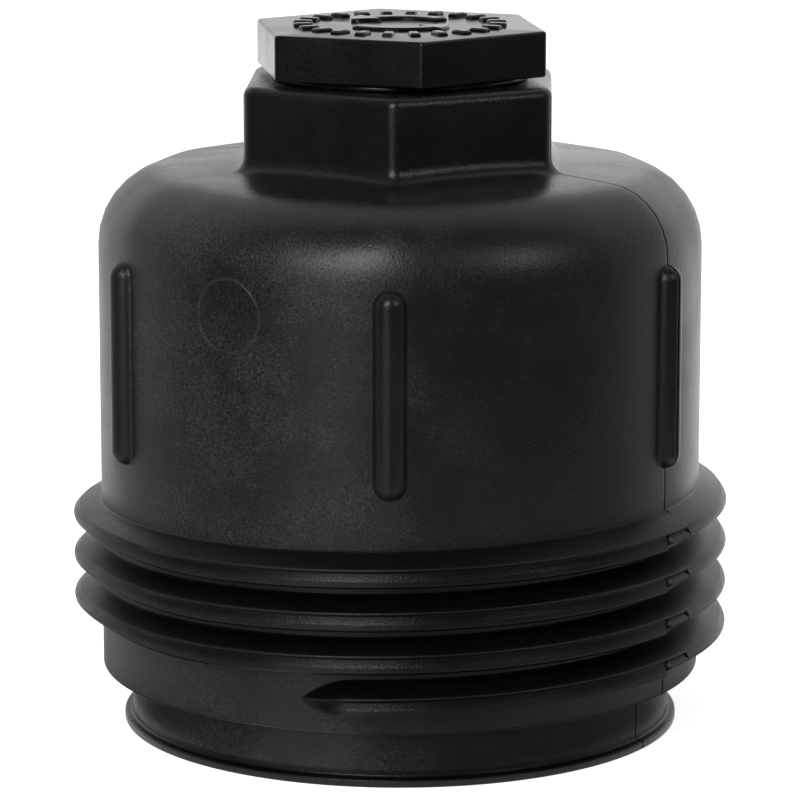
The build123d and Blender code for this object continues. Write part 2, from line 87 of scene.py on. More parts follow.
# ---------------------------------------------------------------------------- surfaces
@dataclass
class Shell:
    """One closed surface: points in millimetres and quads or triangles.

    Args:
        points: array of shape (n, 3).
        faces: array of shape (m, 4).
    """

    points: np.ndarray
    faces: np.ndarray

    def outward(self) -> "Shell":
        """Turns the faces over if they enclose a negative volume.

        Returns:
            The same shell with its faces pointing outwards.
        """
        a, b, c, d = (self.points[self.faces[:, k]] for k in range(4))
        volume = sum(np.einsum("ij,ij->i", a, np.cross(*pair)).sum() for pair in ((b, c), (c, d)))
        if volume < 0:
            self.faces = self.faces[:, ::-1]
        return self


def grid_faces(rows: int, cols: int, wrap_rows: bool, wrap_cols: bool) -> np.ndarray:
    """Quads of a rows by cols grid of points numbered row by row.

    Args:
        rows: points down the grid.
        cols: points across it.
        wrap_rows: whether the last row joins the first.
        wrap_cols: whether the last column joins the first.

    Returns:
        Array of shape (quads, 4).
    """
    i = np.arange(rows if wrap_rows else rows - 1)
    j = np.arange(cols if wrap_cols else cols - 1)
    i, j = np.meshgrid(i, j, indexing="ij")
    below, right = (i + 1) % rows, (j + 1) % cols
    quads = [i * cols + j, i * cols + right, below * cols + right, below * cols + j]
    return np.stack(quads, -1).reshape(-1, 4)


def grid_shell(x: np.ndarray, y: np.ndarray, z: np.ndarray, wrap_rows: bool, wrap_cols: bool) -> Shell:
    """A shell from three equal grids of coordinates.

    Args:
        x: grid of x.
        y: grid of y.
        z: grid of z.
        wrap_rows: whether the rows close.
        wrap_cols: whether the columns close.

    Returns:
        The shell, faces outwards.
    """
    x, y, z = np.broadcast_arrays(x, y, z)
    points = np.stack([x, y, z], -1).reshape(-1, 3)
    return Shell(points, grid_faces(*x.shape, wrap_rows, wrap_cols)).outward()


def turned(radius: np.ndarray, height: np.ndarray, angles: np.ndarray, closed: bool = True) -> Shell:
    """A profile carried once round Z.

    A point at angle a from -Y stands at (r sin a, -r cos a, z).

    Args:
        radius: profile radii, shape (rows,) or (rows, columns).
        height: profile heights, the same shape.
        angles: column angles in radians.
        closed: whether the profile is a closed loop, or else runs from pole to pole.

    Returns:
        The shell.
    """
    if radius.ndim == 1:
        radius, height = radius[:, None], height[:, None]
    return grid_shell(radius * np.sin(angles), -radius * np.cos(angles), height + 0 * angles, closed, True)


def rounded(corners: object, radii: float | list[float] = 0.0, steps: int = 4) -> np.ndarray:
    """A closed outline whose corners are turned into circular bends.

    A bend touches the corner's two sides one tangent length away from it, and that length is capped
    at a share of the shorter side.  Its points turn evenly from the one touching point to the other.

    Args:
        corners: the outline's corners in order, shape (n, 2) or (n, columns, 2).
        radii: one bend radius, or one for each corner.
        steps: intervals along a bend.

    Returns:
        The outline's points, with the same trailing shape.
    """
    c = np.asarray(corners, float)
    tail = (1,) * (c.ndim - 1)
    bend = np.broadcast_to(np.asarray(radii, float), (len(c),)).reshape((-1, *tail))
    before, after = np.roll(c, 1, 0) - c, np.roll(c, -1, 0) - c
    lb, la = (np.linalg.norm(side, axis=-1, keepdims=True) for side in (before, after))
    before, after = before / lb, after / la
    half = np.arccos(np.clip((before * after).sum(-1, keepdims=True), -1, 1)) / 2
    reach = np.minimum(bend / np.maximum(np.tan(half), 1e-3), LONGEST_REACH * np.minimum(lb, la))
    centre = (c + (before + after) * reach / np.maximum(2 * np.cos(half) ** 2, 1e-9))[:, None]
    turn = np.maximum(math.pi - 2 * half, 1e-4)[:, None]
    s = np.linspace(0, 1, steps + 1).reshape((1, -1, *tail))
    start, end = (c + before * reach)[:, None] - centre, (c + after * reach)[:, None] - centre
    bends = centre + (np.sin((1 - s) * turn) * start + np.sin(s * turn) * end) / np.sin(turn)
    line = bends.reshape((-1, *c.shape[1:]))
    apart = np.abs(line - np.roll(line, 1, 0)).reshape(len(line), -1).max(1)
    return line[apart > 1e-5]


def helix_shell(
    section: np.ndarray, root: float, turns: np.ndarray, pitch: float, rise: float, fade: np.ndarray
) -> Shell:
    """A section carried up a right-hand helix.

    At angle a the section's points (r, z) stand at radius root + (r - root) * fade(a) and height
    rise + pitch * a / 360 + z * fade(a).

    Args:
        section: outline about the ridge's middle, radius and height, shape (n, 2) or (stations, n, 2).
        root: the radius it shrinks towards.
        turns: station angles in degrees from -Y.
        pitch: rise of one turn.
        rise: height of the ridge's middle at angle 0.
        fade: size of the section at each station, 0 at both ends so that they close.

    Returns:
        The closed ridge.
    """
    angle = np.radians(turns)[:, None]
    section = np.broadcast_to(section, (len(turns), *section.shape[-2:]))
    r = root + (section[..., 0] - root) * fade[:, None]
    z = (rise + pitch * turns / 360)[:, None] + section[..., 1] * fade[:, None]
    return grid_shell(r * np.sin(angle), -r * np.cos(angle), z, False, True)


def ribbon(
    path: np.ndarray, across: np.ndarray, half: np.ndarray, bottom: float, top: float, edge: float
) -> Shell:
    """A raised band along a path, with bevelled upper edges and closed ends.

    Args:
        path: points of its middle line, shape (n, 2).
        across: unit vectors across it, shape (n, 2).
        half: its half width at each point.
        bottom: height of its foot.
        top: height of its face.
        edge: width of its bevel.

    Returns:
        The closed band.
    """
    inner = np.maximum(half - edge, 0)
    u = np.stack([-half, -half, -inner, inner, half, half], 1)
    z = np.array([bottom, top - edge, top, top, top - edge, bottom]) + 0 * u
    low = np.minimum(z, top - edge)
    along = np.gradient(path, axis=0)
    along /= np.linalg.norm(along, axis=1)[:, None]
    x, y = (
        np.stack([
            flat[0] * 0 + flat[0].mean(), flat[0], flat[0] + along[0, k] * edge, *flat[1:-1],
            flat[-1] - along[-1, k] * edge, flat[-1], flat[-1] * 0 + flat[-1].mean(),
        ])
        for k, flat in enumerate(path[:, k, None] + across[:, k, None] * u for k in (0, 1))
    )  # fmt: skip
    z = np.stack([low[0] * 0 + bottom, low[0], z[0], *z[1:-1], z[-1], low[-1], low[-1] * 0 + bottom])
    return grid_shell(x, y, z, False, True)


def profile_columns(corners: list[tuple], angles: np.ndarray, steps: int) -> np.ndarray:
    """A rounded profile for each column.

    Args:
        corners: radius, height and bend of each corner, where a radius or height may differ by column.
        angles: the column angles.
        steps: intervals along a bend.

    Returns:
        Radii and heights, shape (rows, columns, 2).
    """
    line = np.stack([np.stack([r + 0 * angles, z + 0 * angles], -1) for r, z, _ in corners])
    return rounded(line, [bend for *_, bend in corners], steps)


def hexagon_radius(angles: np.ndarray, across_flats: float, bend: float) -> np.ndarray:
    """Radius of a round-cornered hexagon in each direction.

    Between corners it is the flat's distance over the cosine of the angle from the flat's middle.
    Within a corner it is where the direction meets the corner's circle, which touches both flats.

    Args:
        angles: directions in radians, counted from a corner.
        across_flats: distance between opposite flats.
        bend: radius of the corner's circle.

    Returns:
        The radii.
    """
    flat = across_flats / 2
    off_corner = (angles + TURN / 12) % (TURN / 6) - TURN / 12
    straight = flat / np.cos(TURN / 12 - np.abs(off_corner))
    centre = (flat - bend) / math.cos(TURN / 12)
    inside = np.maximum(bend**2 - (centre * np.sin(off_corner)) ** 2, 0)
    curved = centre * np.cos(off_corner) + np.sqrt(inside)
    tangent = math.atan2(bend * math.sin(TURN / 12), centre + bend * math.cos(TURN / 12))
    return np.where(np.abs(off_corner) < tangent, curved, straight)


def hexagon_columns(count: int, crowd: float) -> np.ndarray:
    """Column angles that crowd together at a hexagon's corners.

    Each angle is p - crowd * sin(6 p) / 6 for evenly spaced p.

    Args:
        count: number of columns.
        crowd: 0 for even spacing, towards 1 for tighter corners.

    Returns:
        The angles in radians.
    """
    p = np.arange(count) * TURN / count
    return p - crowd * np.sin(6 * p) / 6


def swell(x: np.ndarray, y: np.ndarray, z: np.ndarray) -> np.ndarray:
    """A smooth unevenness between -1 and 1, the mean of five waves of unlike lengths and slants."""
    waves = ((0.31, 0.12, 0.07, 0.3), (-0.17, 0.26, 0.11, 1.7), (0.09, -0.21, 0.19, 2.9))
    waves += ((0.45, 0.38, -0.23, 4.1), (-0.36, 0.14, 0.52, 5.3))
    return sum(np.sin(a * x + b * y + c * z + d) for a, b, c, d in waves) / len(waves)


# ---------------------------------------------------------------------------- pieces
def place(
    name: str, shells: list[Shell], body: Body, finish: bpy.types.Material,
    nodes: tuple[str, ...] = (), crease: float = 35.0,
) -> bpy.types.Object:  # fmt: skip
    """Makes one piece of the object from closed shells.

    Args:
        name: the piece's name.
        shells: its closed surfaces, in millimetres.
        body: the group it rides on.
        finish: its material.
        nodes: the CAD nodes it stands for.
        crease: faces that meet at more than this many degrees keep a sharp edge.

    Returns:
        The new object, riding on its body.
    """
    starts = np.cumsum([0] + [len(s.points) for s in shells[:-1]])
    points = np.concatenate([s.points for s in shells]) * MM
    faces = np.concatenate([s.faces + start for s, start in zip(shells, starts)])
    mesh = bpy.data.meshes.new(name)
    mesh.from_pydata(points.tolist(), [], faces.tolist())
    work = bmesh.new()
    work.from_mesh(mesh)
    bmesh.ops.remove_doubles(work, verts=work.verts, dist=WELD * MM)
    work.to_mesh(mesh)
    work.free()
    mesh.polygons.foreach_set("use_smooth", np.ones(len(mesh.polygons), bool))
    mesh.set_sharp_from_angle(angle=math.radians(crease))
    mesh.materials.append(finish)
    obj = bpy.data.objects.new(name, mesh)
    bpy.context.scene.collection.objects.link(obj)
    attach(obj, body.value)
    if nodes:
        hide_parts(*nodes)
    log.info("%s: %d faces", name, len(mesh.polygons))
    return obj


def dress_node(node: str, finish: bpy.types.Material) -> None:
    """Gives a carried-over node its finish and reports it."""
    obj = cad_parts[node]
    obj.data.materials.clear()
    obj.data.materials.append(finish)
    log.info("%s: kept", node)


# ---------------------------------------------------------------------------- finishes
DEEP_BLACK = (0.001, 0.001, 0.001)
PARTING_WIDTH = (0.1, 0.26)  # half the parting line's width, where it is full and where it ends
PIN_RADIUS = 4.25  # of the ring that the mould's pin left
PIN_WIDTH = (0.06, 0.2)  # half that ring's width, where it is full and where it ends
FLECK_SIZE = 0.24


class Graph:
    """The nodes of one material, with its shader and output in place."""

    def __init__(self, name: str) -> None:
        """Starts a material that holds a principled shader and nothing else."""
        self.material = bpy.data.materials.new(name)
        self.material.use_nodes = True
        self.tree = self.material.node_tree
        self.tree.nodes.clear()
        self.out = self.node("OutputMaterial")
        self.shader = self.node("BsdfPrincipled")
        self.link(self.shader.outputs[0], self.out.inputs["Surface"])
        self.place = self.node("TexCoord").outputs["Object"]

    def node(self, kind: str) -> bpy.types.Node:
        """A new node of a kind, named without its ShaderNode prefix."""
        return self.tree.nodes.new(f"ShaderNode{kind}")

    def link(self, source: bpy.types.NodeSocket, target: bpy.types.NodeSocket) -> None:
        """Joins two sockets."""
        self.tree.links.new(source, target)

    def feed(self, socket: bpy.types.NodeSocket, value: object) -> None:
        """Links a socket to another, or sets it to a constant."""
        if isinstance(value, bpy.types.NodeSocket):
            self.link(value, socket)
        else:
            socket.default_value = value

    def maths(self, operation: str, *values: object, clamp: bool = False) -> bpy.types.NodeSocket:
        """One Math node.

        Args:
            operation: its operation.
            values: a socket or a number for each input.
            clamp: whether the result is held between 0 and 1.

        Returns:
            The result's socket.
        """
        node = self.node("Math")
        node.operation, node.use_clamp = operation, clamp
        for socket, value in zip(node.inputs, values):
            self.feed(socket, value)
        return node.outputs[0]

    def times(self, *values: object, clamp: bool = False) -> bpy.types.NodeSocket:
        """The product of sockets and numbers, taken in order and clamped between 0 and 1 if asked."""
        result = values[0]
        for value in values[1:]:
            result = self.maths("MULTIPLY", result, value, clamp=clamp)
        return result

    def plus(self, *values: object) -> bpy.types.NodeSocket:
        """The sum of sockets and numbers, taken in order."""
        result = values[0]
        for value in values[1:]:
            result = self.maths("ADD", result, value)
        return result

    def left(self, share: object, much: float) -> bpy.types.NodeSocket:
        """What is left of 1 where a share takes much of it away: 1 - share * much."""
        return self.maths("SUBTRACT", 1.0, self.times(share, much))

    def noise(
        self, size: float, detail: float = 3.0, stretch: tuple[float, float, float] = (1, 1, 1)
    ) -> bpy.types.NodeSocket:
        """Noise whose features measure about size millimetres.

        Args:
            size: feature size in millimetres.
            detail: octaves.
            stretch: scale of the pattern along X, Y and Z.

        Returns:
            The factor's socket.
        """
        node = self.node("TexNoise")
        node.inputs["Roughness"].default_value = 0.62
        node.inputs["Scale"].default_value = 1 / (size * MM)
        node.inputs["Detail"].default_value = detail
        mapping = self.node("Mapping")
        mapping.inputs["Scale"].default_value = stretch
        self.link(self.place, mapping.inputs["Vector"])
        self.link(mapping.outputs[0], node.inputs["Vector"])
        return node.outputs["Fac"]

    def span(
        self, value: bpy.types.NodeSocket, low: float, high: float,
        to_low: float = 0.0, to_high: float = 1.0,
    ) -> bpy.types.NodeSocket:  # fmt: skip
        """Maps a range smoothly and clamped.

        Args:
            value: the socket that is mapped.
            low: value that becomes to_low.
            high: value that becomes to_high.
            to_low: result at low.
            to_high: result at high.

        Returns:
            The result's socket.
        """
        node = self.node("MapRange")
        node.interpolation_type = "SMOOTHSTEP"
        self.link(value, node.inputs["Value"])
        ends = {"From Min": low, "From Max": high, "To Min": to_low, "To Max": to_high}
        for name, number in ends.items():
            node.inputs[name].default_value = number
        return node.outputs["Result"]

    def blend(self, share: object, first: object, second: object) -> bpy.types.NodeSocket:
        """Mixes two colours.

        Args:
            share: how much of the second shows.
            first: a socket or (r, g, b).
            second: a socket or (r, g, b).

        Returns:
            The colour's socket.
        """
        node = self.node("Mix")
        node.data_type = "RGBA"
        self.feed(node.inputs["Factor"], share)
        for socket, value in ((node.inputs[6], first), (node.inputs[7], second)):
            self.feed(socket, (*value, 1.0) if isinstance(value, tuple) else value)
        return node.outputs[2]

    def vector(self, operation: str, source: bpy.types.NodeSocket, by: object = None) -> bpy.types.Node:
        """One Vector Math node.

        Args:
            operation: its operation.
            source: the socket of its first input.
            by: the constant of its second input, if it has one.

        Returns:
            The node.
        """
        node = self.node("VectorMath")
        node.operation = operation
        self.link(source, node.inputs[0])
        if by is not None:
            node.inputs[1].default_value = by
        return node

    def far_from(self, point: tuple[float, float, float]) -> bpy.types.NodeSocket:
        """Distance from a point given in millimetres, in metres."""
        return self.vector("DISTANCE", self.place, Vector(point) * MM).outputs["Value"]

    def off_plane(self, normal: tuple[float, float, float]) -> bpy.types.NodeSocket:
        """Signed distance in metres from a plane through the origin."""
        return self.vector("DOT_PRODUCT", self.place, normal).outputs["Value"]

    def off_axis(self) -> bpy.types.NodeSocket:
        """Distance from the Z axis in metres."""
        flat = self.vector("MULTIPLY", self.place, (1, 1, 0))
        return self.vector("LENGTH", flat.outputs[0]).outputs["Value"]

    def height(self) -> bpy.types.NodeSocket:
        """Height above the floor in metres."""
        return self.off_plane((0, 0, 1))

    def emboss(self, height: bpy.types.NodeSocket, depth: float, strength: float = 1.0) -> None:
        """Bumps the surface.

        Args:
            height: the relief, 0 to 1.
            depth: what a height of 1 stands for, in millimetres.
            strength: how strongly it shades.
        """
        node = self.node("Bump")
        node.inputs["Distance"].default_value = depth * MM
        node.inputs["Strength"].default_value = strength
        self.link(height, node.inputs["Height"])
        self.link(node.outputs[0], self.shader.inputs["Normal"])

    def coat(self, colour: bpy.types.NodeSocket, rough: bpy.types.NodeSocket) -> None:
        """Gives the shader its colour and its roughness."""
        self.link(colour, self.shader.inputs["Base Color"])
        self.link(rough, self.shader.inputs["Roughness"])

    def constants(self, **values: object) -> None:
        """Sets the shader's own sockets by name, with underscores for spaces."""
        for name, value in values.items():
            self.shader.inputs[name.replace("_", " ")].default_value = value


@dataclass(frozen=True)
class MouldedPlastic:
    """Glass-filled nylon with the grain, mottling and scuffs of its mould.

    Args:
        name: the material's name.
        dark: its colour.
        pale: the colour of its glass flecks and scuffs.
        rough: roughness in the smooth places and in the dull ones.
        specular: strength of its reflection.
        flecks: how much of the pale colour the flecks take, 0 to 1.
        grain: depth of the grain in millimetres.
        parting: angle in degrees of the mould's parting line, or None.
        witness: centre of a mould pin's ring in millimetres, or None.
        painted_light_side: metres along X from where the flecks are plain to where painted light makes them
            paler and the finish is duller, or None for an even look.
        smooth_above: height in millimetres above which the mould was polished, or None.
        smooth_ribs: radius in millimetres outside which the ribs were polished, or None.
        flanks: radii in millimetres between which the thread's flanks lie and get painted shade, or None
            for no painted shade.
        crest_painted_shade: how much painted shade the thread's crest gets beside its flanks, 0 to 1.
        thread_top: height in millimetres where the thread's top flank ends.
        ribs_from: height in millimetres above which the ribs count as polished.
        lip: height in millimetres up to which the mouth's lip reaches with its groove and gets painted
            shade.
    """

    name: str
    dark: tuple[float, float, float]
    pale: tuple[float, float, float]
    rough: tuple[float, float] = (0.42, 0.6)
    specular: float = 0.45
    flecks: float = 0.5
    grain: float = 0.012
    parting: float | None = None
    witness: tuple[float, float, float] | None = None
    painted_light_side: tuple[float, float] | None = None
    smooth_above: float | None = None
    smooth_ribs: float | None = None
    flanks: tuple[float, float] | None = None
    crest_painted_shade: float = 0.45
    thread_top: float = 33.4
    ribs_from: float = 33.0
    lip: float = 0.0

    def polish(self, g: Graph) -> tuple[bpy.types.NodeSocket | float, bpy.types.NodeSocket | float]:
        """How polished each place is, 0 to 1: the boss, and the boss with the ribs."""
        if self.smooth_above is None:
            return 0.0, 0.0
        high = g.span(g.height(), self.smooth_above * MM, (self.smooth_above + 0.8) * MM)
        ribs = g.span(g.off_axis(), self.smooth_ribs * MM, (self.smooth_ribs + 0.15) * MM)
        above_thread = g.span(g.height(), (self.ribs_from - 1.0) * MM, self.ribs_from * MM)
        return high, g.maths("MAXIMUM", high, g.times(ribs, above_thread))

    def painted_shade(self, g: Graph) -> bpy.types.NodeSocket | float:
        """How much painted shade darkens each place and dims its reflection, 0 to 1: the thread's flanks,
        its crest and the lip.
        """
        if self.flanks is None:
            return 0.0
        start, end = self.flanks
        outside = g.span(g.off_axis(), start * MM, (start + 0.25) * MM)
        inside = g.span(g.off_axis(), (end - 0.25) * MM, end * MM, 1.0, self.crest_painted_shade)
        low = g.span(g.height(), self.thread_top * MM, (self.thread_top + 0.8) * MM, 1.0, 0.0)
        lip = g.span(g.height(), self.lip * MM, (self.lip + 0.4) * MM, 1.0, 0.0)
        return g.maths("MAXIMUM", lip, g.times(low, g.times(outside, inside)))

    def build(self) -> bpy.types.Material:
        """Makes the material: mottled colour, flecks, roughness patches, grain, mould marks, painted light
        on one side and painted shade on the thread and the lip.
        """
        g = Graph(self.name)
        fleck = g.span(g.noise(FLECK_SIZE, 3.0), 0.36, 0.76)
        dust = g.span(g.noise(1.1, 4.0), 0.58, 0.78)
        cloud = g.span(g.noise(9.0, 3.0), 0.36, 0.68)
        drift = g.span(g.noise(22.0, 2.0), 0.35, 0.65)
        amount = g.times(g.plus(fleck, g.times(dust, 0.5)), self.flecks)
        amount = g.times(amount, g.plus(0.35, g.times(cloud, 0.65)), clamp=True)
        high, polish = self.polish(g)
        painted_shade = self.painted_shade(g)
        side = 0.0
        # Painted light on the -X side: the flecks grow paler there, and the finish also turns duller.
        if self.painted_light_side is not None:
            across = g.plus(g.off_plane((-1, 0, 0)), g.times(cloud, 0.006))
            side = g.span(across, -self.painted_light_side[0], -self.painted_light_side[1])
            amount = g.times(amount, g.plus(0.35, g.times(side, 1.1)))
        amount = g.times(amount, g.left(polish, 0.85))
        # Painted shade on the thread's flanks and crest and on the lip: fewer pale flecks and a colour
        # nearer black.
        amount = g.times(amount, g.left(painted_shade, 0.95))
        colour = g.blend(amount, self.dark, self.pale)
        colour = g.blend(g.times(painted_shade, 0.7), colour, DEEP_BLACK)
        dull = g.plus(g.times(cloud, 0.5), g.times(drift, 0.5))
        dull = g.plus(g.times(dull, 0.55), g.times(fleck, 0.2))
        dull = g.plus(dull, g.times(side, 0.25))
        rough = g.maths("SUBTRACT", g.span(dull, 0.1, 0.9, *self.rough), g.times(high, 0.1))
        relief = g.plus(g.noise(FLECK_SIZE, 2.0), g.times(g.noise(1.6, 3.0), 0.6))
        g.constants(Specular_IOR_Level=self.specular)
        if self.parting is not None:
            a = math.radians(self.parting)
            off = g.off_plane((math.cos(a), math.sin(a), 0))
            line = g.span(g.maths("ABSOLUTE", off), *(w * MM for w in PARTING_WIDTH), 1.0, 0.0)
            colour = g.blend(line, colour, DEEP_BLACK)
            relief = g.maths("SUBTRACT", relief, g.times(line, 2.0))
            shine = g.times(g.left(line, 0.9), self.specular)
            # The painted shade dims the reflection there as well.
            g.link(g.times(g.left(painted_shade, 0.42), shine), g.shader.inputs["Specular IOR Level"])
        if self.witness is not None:
            away = g.maths("ABSOLUTE", g.maths("SUBTRACT", g.far_from(self.witness), PIN_RADIUS * MM))
            ring = g.span(away, *(w * MM for w in PIN_WIDTH), 1.0, 0.0)
            worn = g.span(g.noise(4.0, 2.0), 0.4, 0.7, 0.02, 0.3)
            colour = g.blend(g.times(ring, worn), colour, self.pale)
            relief = g.maths("SUBTRACT", relief, g.times(ring, 1.2))
        g.coat(colour, rough)
        g.emboss(relief, self.grain, 0.9)
        return g.material


@dataclass(frozen=True)
class MouldedRubber:
    """Smooth or satin rubber with faint flow marks and bloom.

    Args:
        name: the material's name.
        colour: its colour.
        rough: roughness of the clean and of the bloomed places.
        grain: depth of the surface in millimetres.
    """

    name: str
    colour: tuple[float, float, float]
    rough: tuple[float, float] = (0.35, 0.55)
    grain: float = 0.006

    def build(self) -> bpy.types.Material:
        """Makes the material."""
        g = Graph(self.name)
        bloom = g.span(g.noise(3.0, 4.0), 0.42, 0.7)
        paler = tuple(min(1.0, c * 1.7 + 0.004) for c in self.colour)
        g.coat(g.blend(bloom, self.colour, paler), g.span(bloom, 0.0, 1.0, *self.rough))
        g.emboss(g.noise(0.5, 3.0), self.grain, 0.7)
        g.constants(Specular_IOR_Level=0.4)
        return g.material


@dataclass(frozen=True)
class Steel:
    """Plain or plated steel, drawn or pressed, with an oily bloom.

    Args:
        name: the material's name.
        colour: its colour.
        stain: colour of its oil and heat tint.
        rough: roughness of the bright and the dull places.
        lay: how the drawing marks stretch along X, Y and Z.
    """

    name: str
    colour: tuple[float, float, float]
    stain: tuple[float, float, float]
    rough: tuple[float, float] = (0.22, 0.42)
    lay: tuple[float, float, float] = (1.0, 1.0, 6.0)

    def build(self) -> bpy.types.Material:
        """Makes the material."""
        g = Graph(self.name)
        bloom = g.span(g.noise(5.0, 4.0), 0.45, 0.72)
        marks = g.noise(0.5, 2.0, self.lay)
        colour = g.blend(g.times(bloom, 0.6), self.colour, self.stain)
        g.coat(colour, g.span(marks, 0.3, 0.7, *self.rough))
        g.emboss(marks, 0.006, 0.6)
        g.constants(Metallic=1.0)
        return g.material


@dataclass(frozen=True)
class FilterPaper:
    """Resin-cured filter paper with fibres and a cloudy tone between a deep and a pale colour."""

    name: str = "cured_paper"
    pale: tuple[float, float, float] = (0.74, 0.55, 0.26)
    deep: tuple[float, float, float] = (0.5, 0.33, 0.13)

    def build(self) -> bpy.types.Material:
        """Makes the material."""
        g = Graph(self.name)
        fibres = g.span(g.noise(0.5, 5.0, (1.0, 1.0, 0.25)), 0.35, 0.7)
        cloud = g.span(g.noise(5.0, 3.0), 0.4, 0.65)
        tone = g.plus(g.times(fibres, 0.55), g.times(cloud, 0.45))
        g.coat(g.blend(tone, self.deep, self.pale), g.span(fibres, 0.0, 1.0, 0.8, 0.95))
        g.emboss(fibres, 0.03, 0.8)
        g.constants(Specular_IOR_Level=0.25)
        return g.material


@dataclass(frozen=True)
class Adhesive:
    """Poured plastisol with small bubbles and a soft skin."""

    name: str
    colour: tuple[float, float, float]

    def build(self) -> bpy.types.Material:
        """Makes the material."""
        g = Graph(self.name)
        bubbles = g.span(g.noise(0.8, 2.0), 0.6, 0.72)
        skin = g.span(g.noise(6.0, 3.0), 0.4, 0.65)
        darker = tuple(c * 0.6 for c in self.colour)
        spots = g.maths("MAXIMUM", bubbles, g.times(skin, 0.5))
        g.coat(g.blend(spots, self.colour, darker), g.span(skin, 0.0, 1.0, 0.35, 0.6))
        g.emboss(g.maths("SUBTRACT", skin, bubbles), 0.05, 0.6)
        return g.material


BODY_RADIUS = 36.0
PIN_ANGLE, PIN_HEIGHT = math.radians(-31), 54.4
BOWL_BLACK = MouldedPlastic(
    "bowl_black",
    dark=(0.0068, 0.0068, 0.0066),
    pale=(0.055, 0.055, 0.051),
    rough=(0.3, 0.44),
    flecks=0.55,
    grain=0.045,
    # painted light: paler flecks towards -X, with a duller finish there
    painted_light_side=(0.006, -0.016),
    specular=0.5,
    parting=60.7,
    smooth_above=66.6,
    smooth_ribs=36.1,
    # painted shade on the thread's flanks and crest, and on the mouth's lip below the lip height
    flanks=(36.15, 39.26),
    lip=1.6,
    witness=(BODY_RADIUS * math.sin(PIN_ANGLE), -BODY_RADIUS * math.cos(PIN_ANGLE), PIN_HEIGHT),
)
PLUG_BLACK = MouldedPlastic(
    "plug_black", dark=(0.0045, 0.0045, 0.005), pale=(0.03, 0.03, 0.03), rough=(0.18, 0.3), flecks=0.3,
    grain=0.006,
)  # fmt: skip
CAP_GREY = MouldedPlastic("cap_grey", dark=(0.045, 0.046, 0.05), pale=(0.13, 0.13, 0.14), rough=(0.4, 0.55))
TUBE_NATURAL = MouldedPlastic(
    "tube_natural", dark=(0.62, 0.6, 0.54), pale=(0.78, 0.77, 0.72), rough=(0.35, 0.5), flecks=0.4
)
POPPET_NATURAL = MouldedPlastic(
    "poppet_natural", dark=(0.66, 0.64, 0.58), pale=(0.8, 0.79, 0.74), rough=(0.25, 0.4), flecks=0.3,
    grain=0.006,
)  # fmt: skip
GASKET_RUBBER = MouldedRubber("gasket_rubber", (0.006, 0.006, 0.007), rough=(0.12, 0.2), grain=0.002)
SEAL_RUBBER = MouldedRubber("seal_rubber", (0.012, 0.012, 0.013))
CHECK_RUBBER = MouldedRubber("check_rubber", (0.24, 0.065, 0.03), rough=(0.4, 0.55))
SPRING_STEEL = Steel("spring_steel", (0.46, 0.46, 0.47), (0.3, 0.26, 0.2))
PLATE_STEEL = Steel("plate_steel", (0.66, 0.64, 0.58), (0.55, 0.5, 0.36), lay=(1.0, 1.0, 1.0))
PAPER = FilterPaper()
PLASTISOL = Adhesive("plastisol", (0.5, 0.44, 0.34))
BEAD_GLUE = Adhesive("bead_glue", (0.66, 0.58, 0.4))


# ---------------------------------------------------------------------------- the bowl
# Where the thread's flanks meet the body: distance outside its wall, and height about the ridge's middle.
FLANK_TOP = ((-0.45, 2.75), (0.12, 2.4))
FLANK_FOOT = ((0.1, -1.75), (-0.45, -2.1))
# The thread's crest in each part of the mould, from above down: depth below the crest's radius, and
# height about the ridge's middle.
FLAT_CREST = ((0.0, 0.92), (0.5, 0.52), (0.22, -0.4), (0.14, -1.0), (0.55, -1.32))
BEAD_CREST = ((0.02, 0.92), (0.5, 0.42), (0.0, 0.02), (0.05, -0.28), (0.5, -0.65))
THIN_CREST = ((0.62, 0.9), (0.12, 0.2), (0.02, -0.08), (0.06, -0.3), (0.8, -0.75))
SLIM_CREST = ((0.75, 1.62), (0.1, 1.0), (0.02, 0.7), (0.1, 0.4), (0.95, -0.2))
CREST_BENDS = (0.0, 0.6, 0.14, 0.15, 0.2, 0.15, 0.2, 0.3, 0.0)

# The thread between the plug and the boss.
PLUG_PITCH = 2.0
PLUG_THREAD_SINK = 0.1  # how far each ridge is buried in its wall
PLUG_THREAD_BEND = 0.12
PLUG_THREAD_STEP = 5.0  # degrees between stations
PLUG_THREAD_FADE = 40.0  # degrees over which an end fades


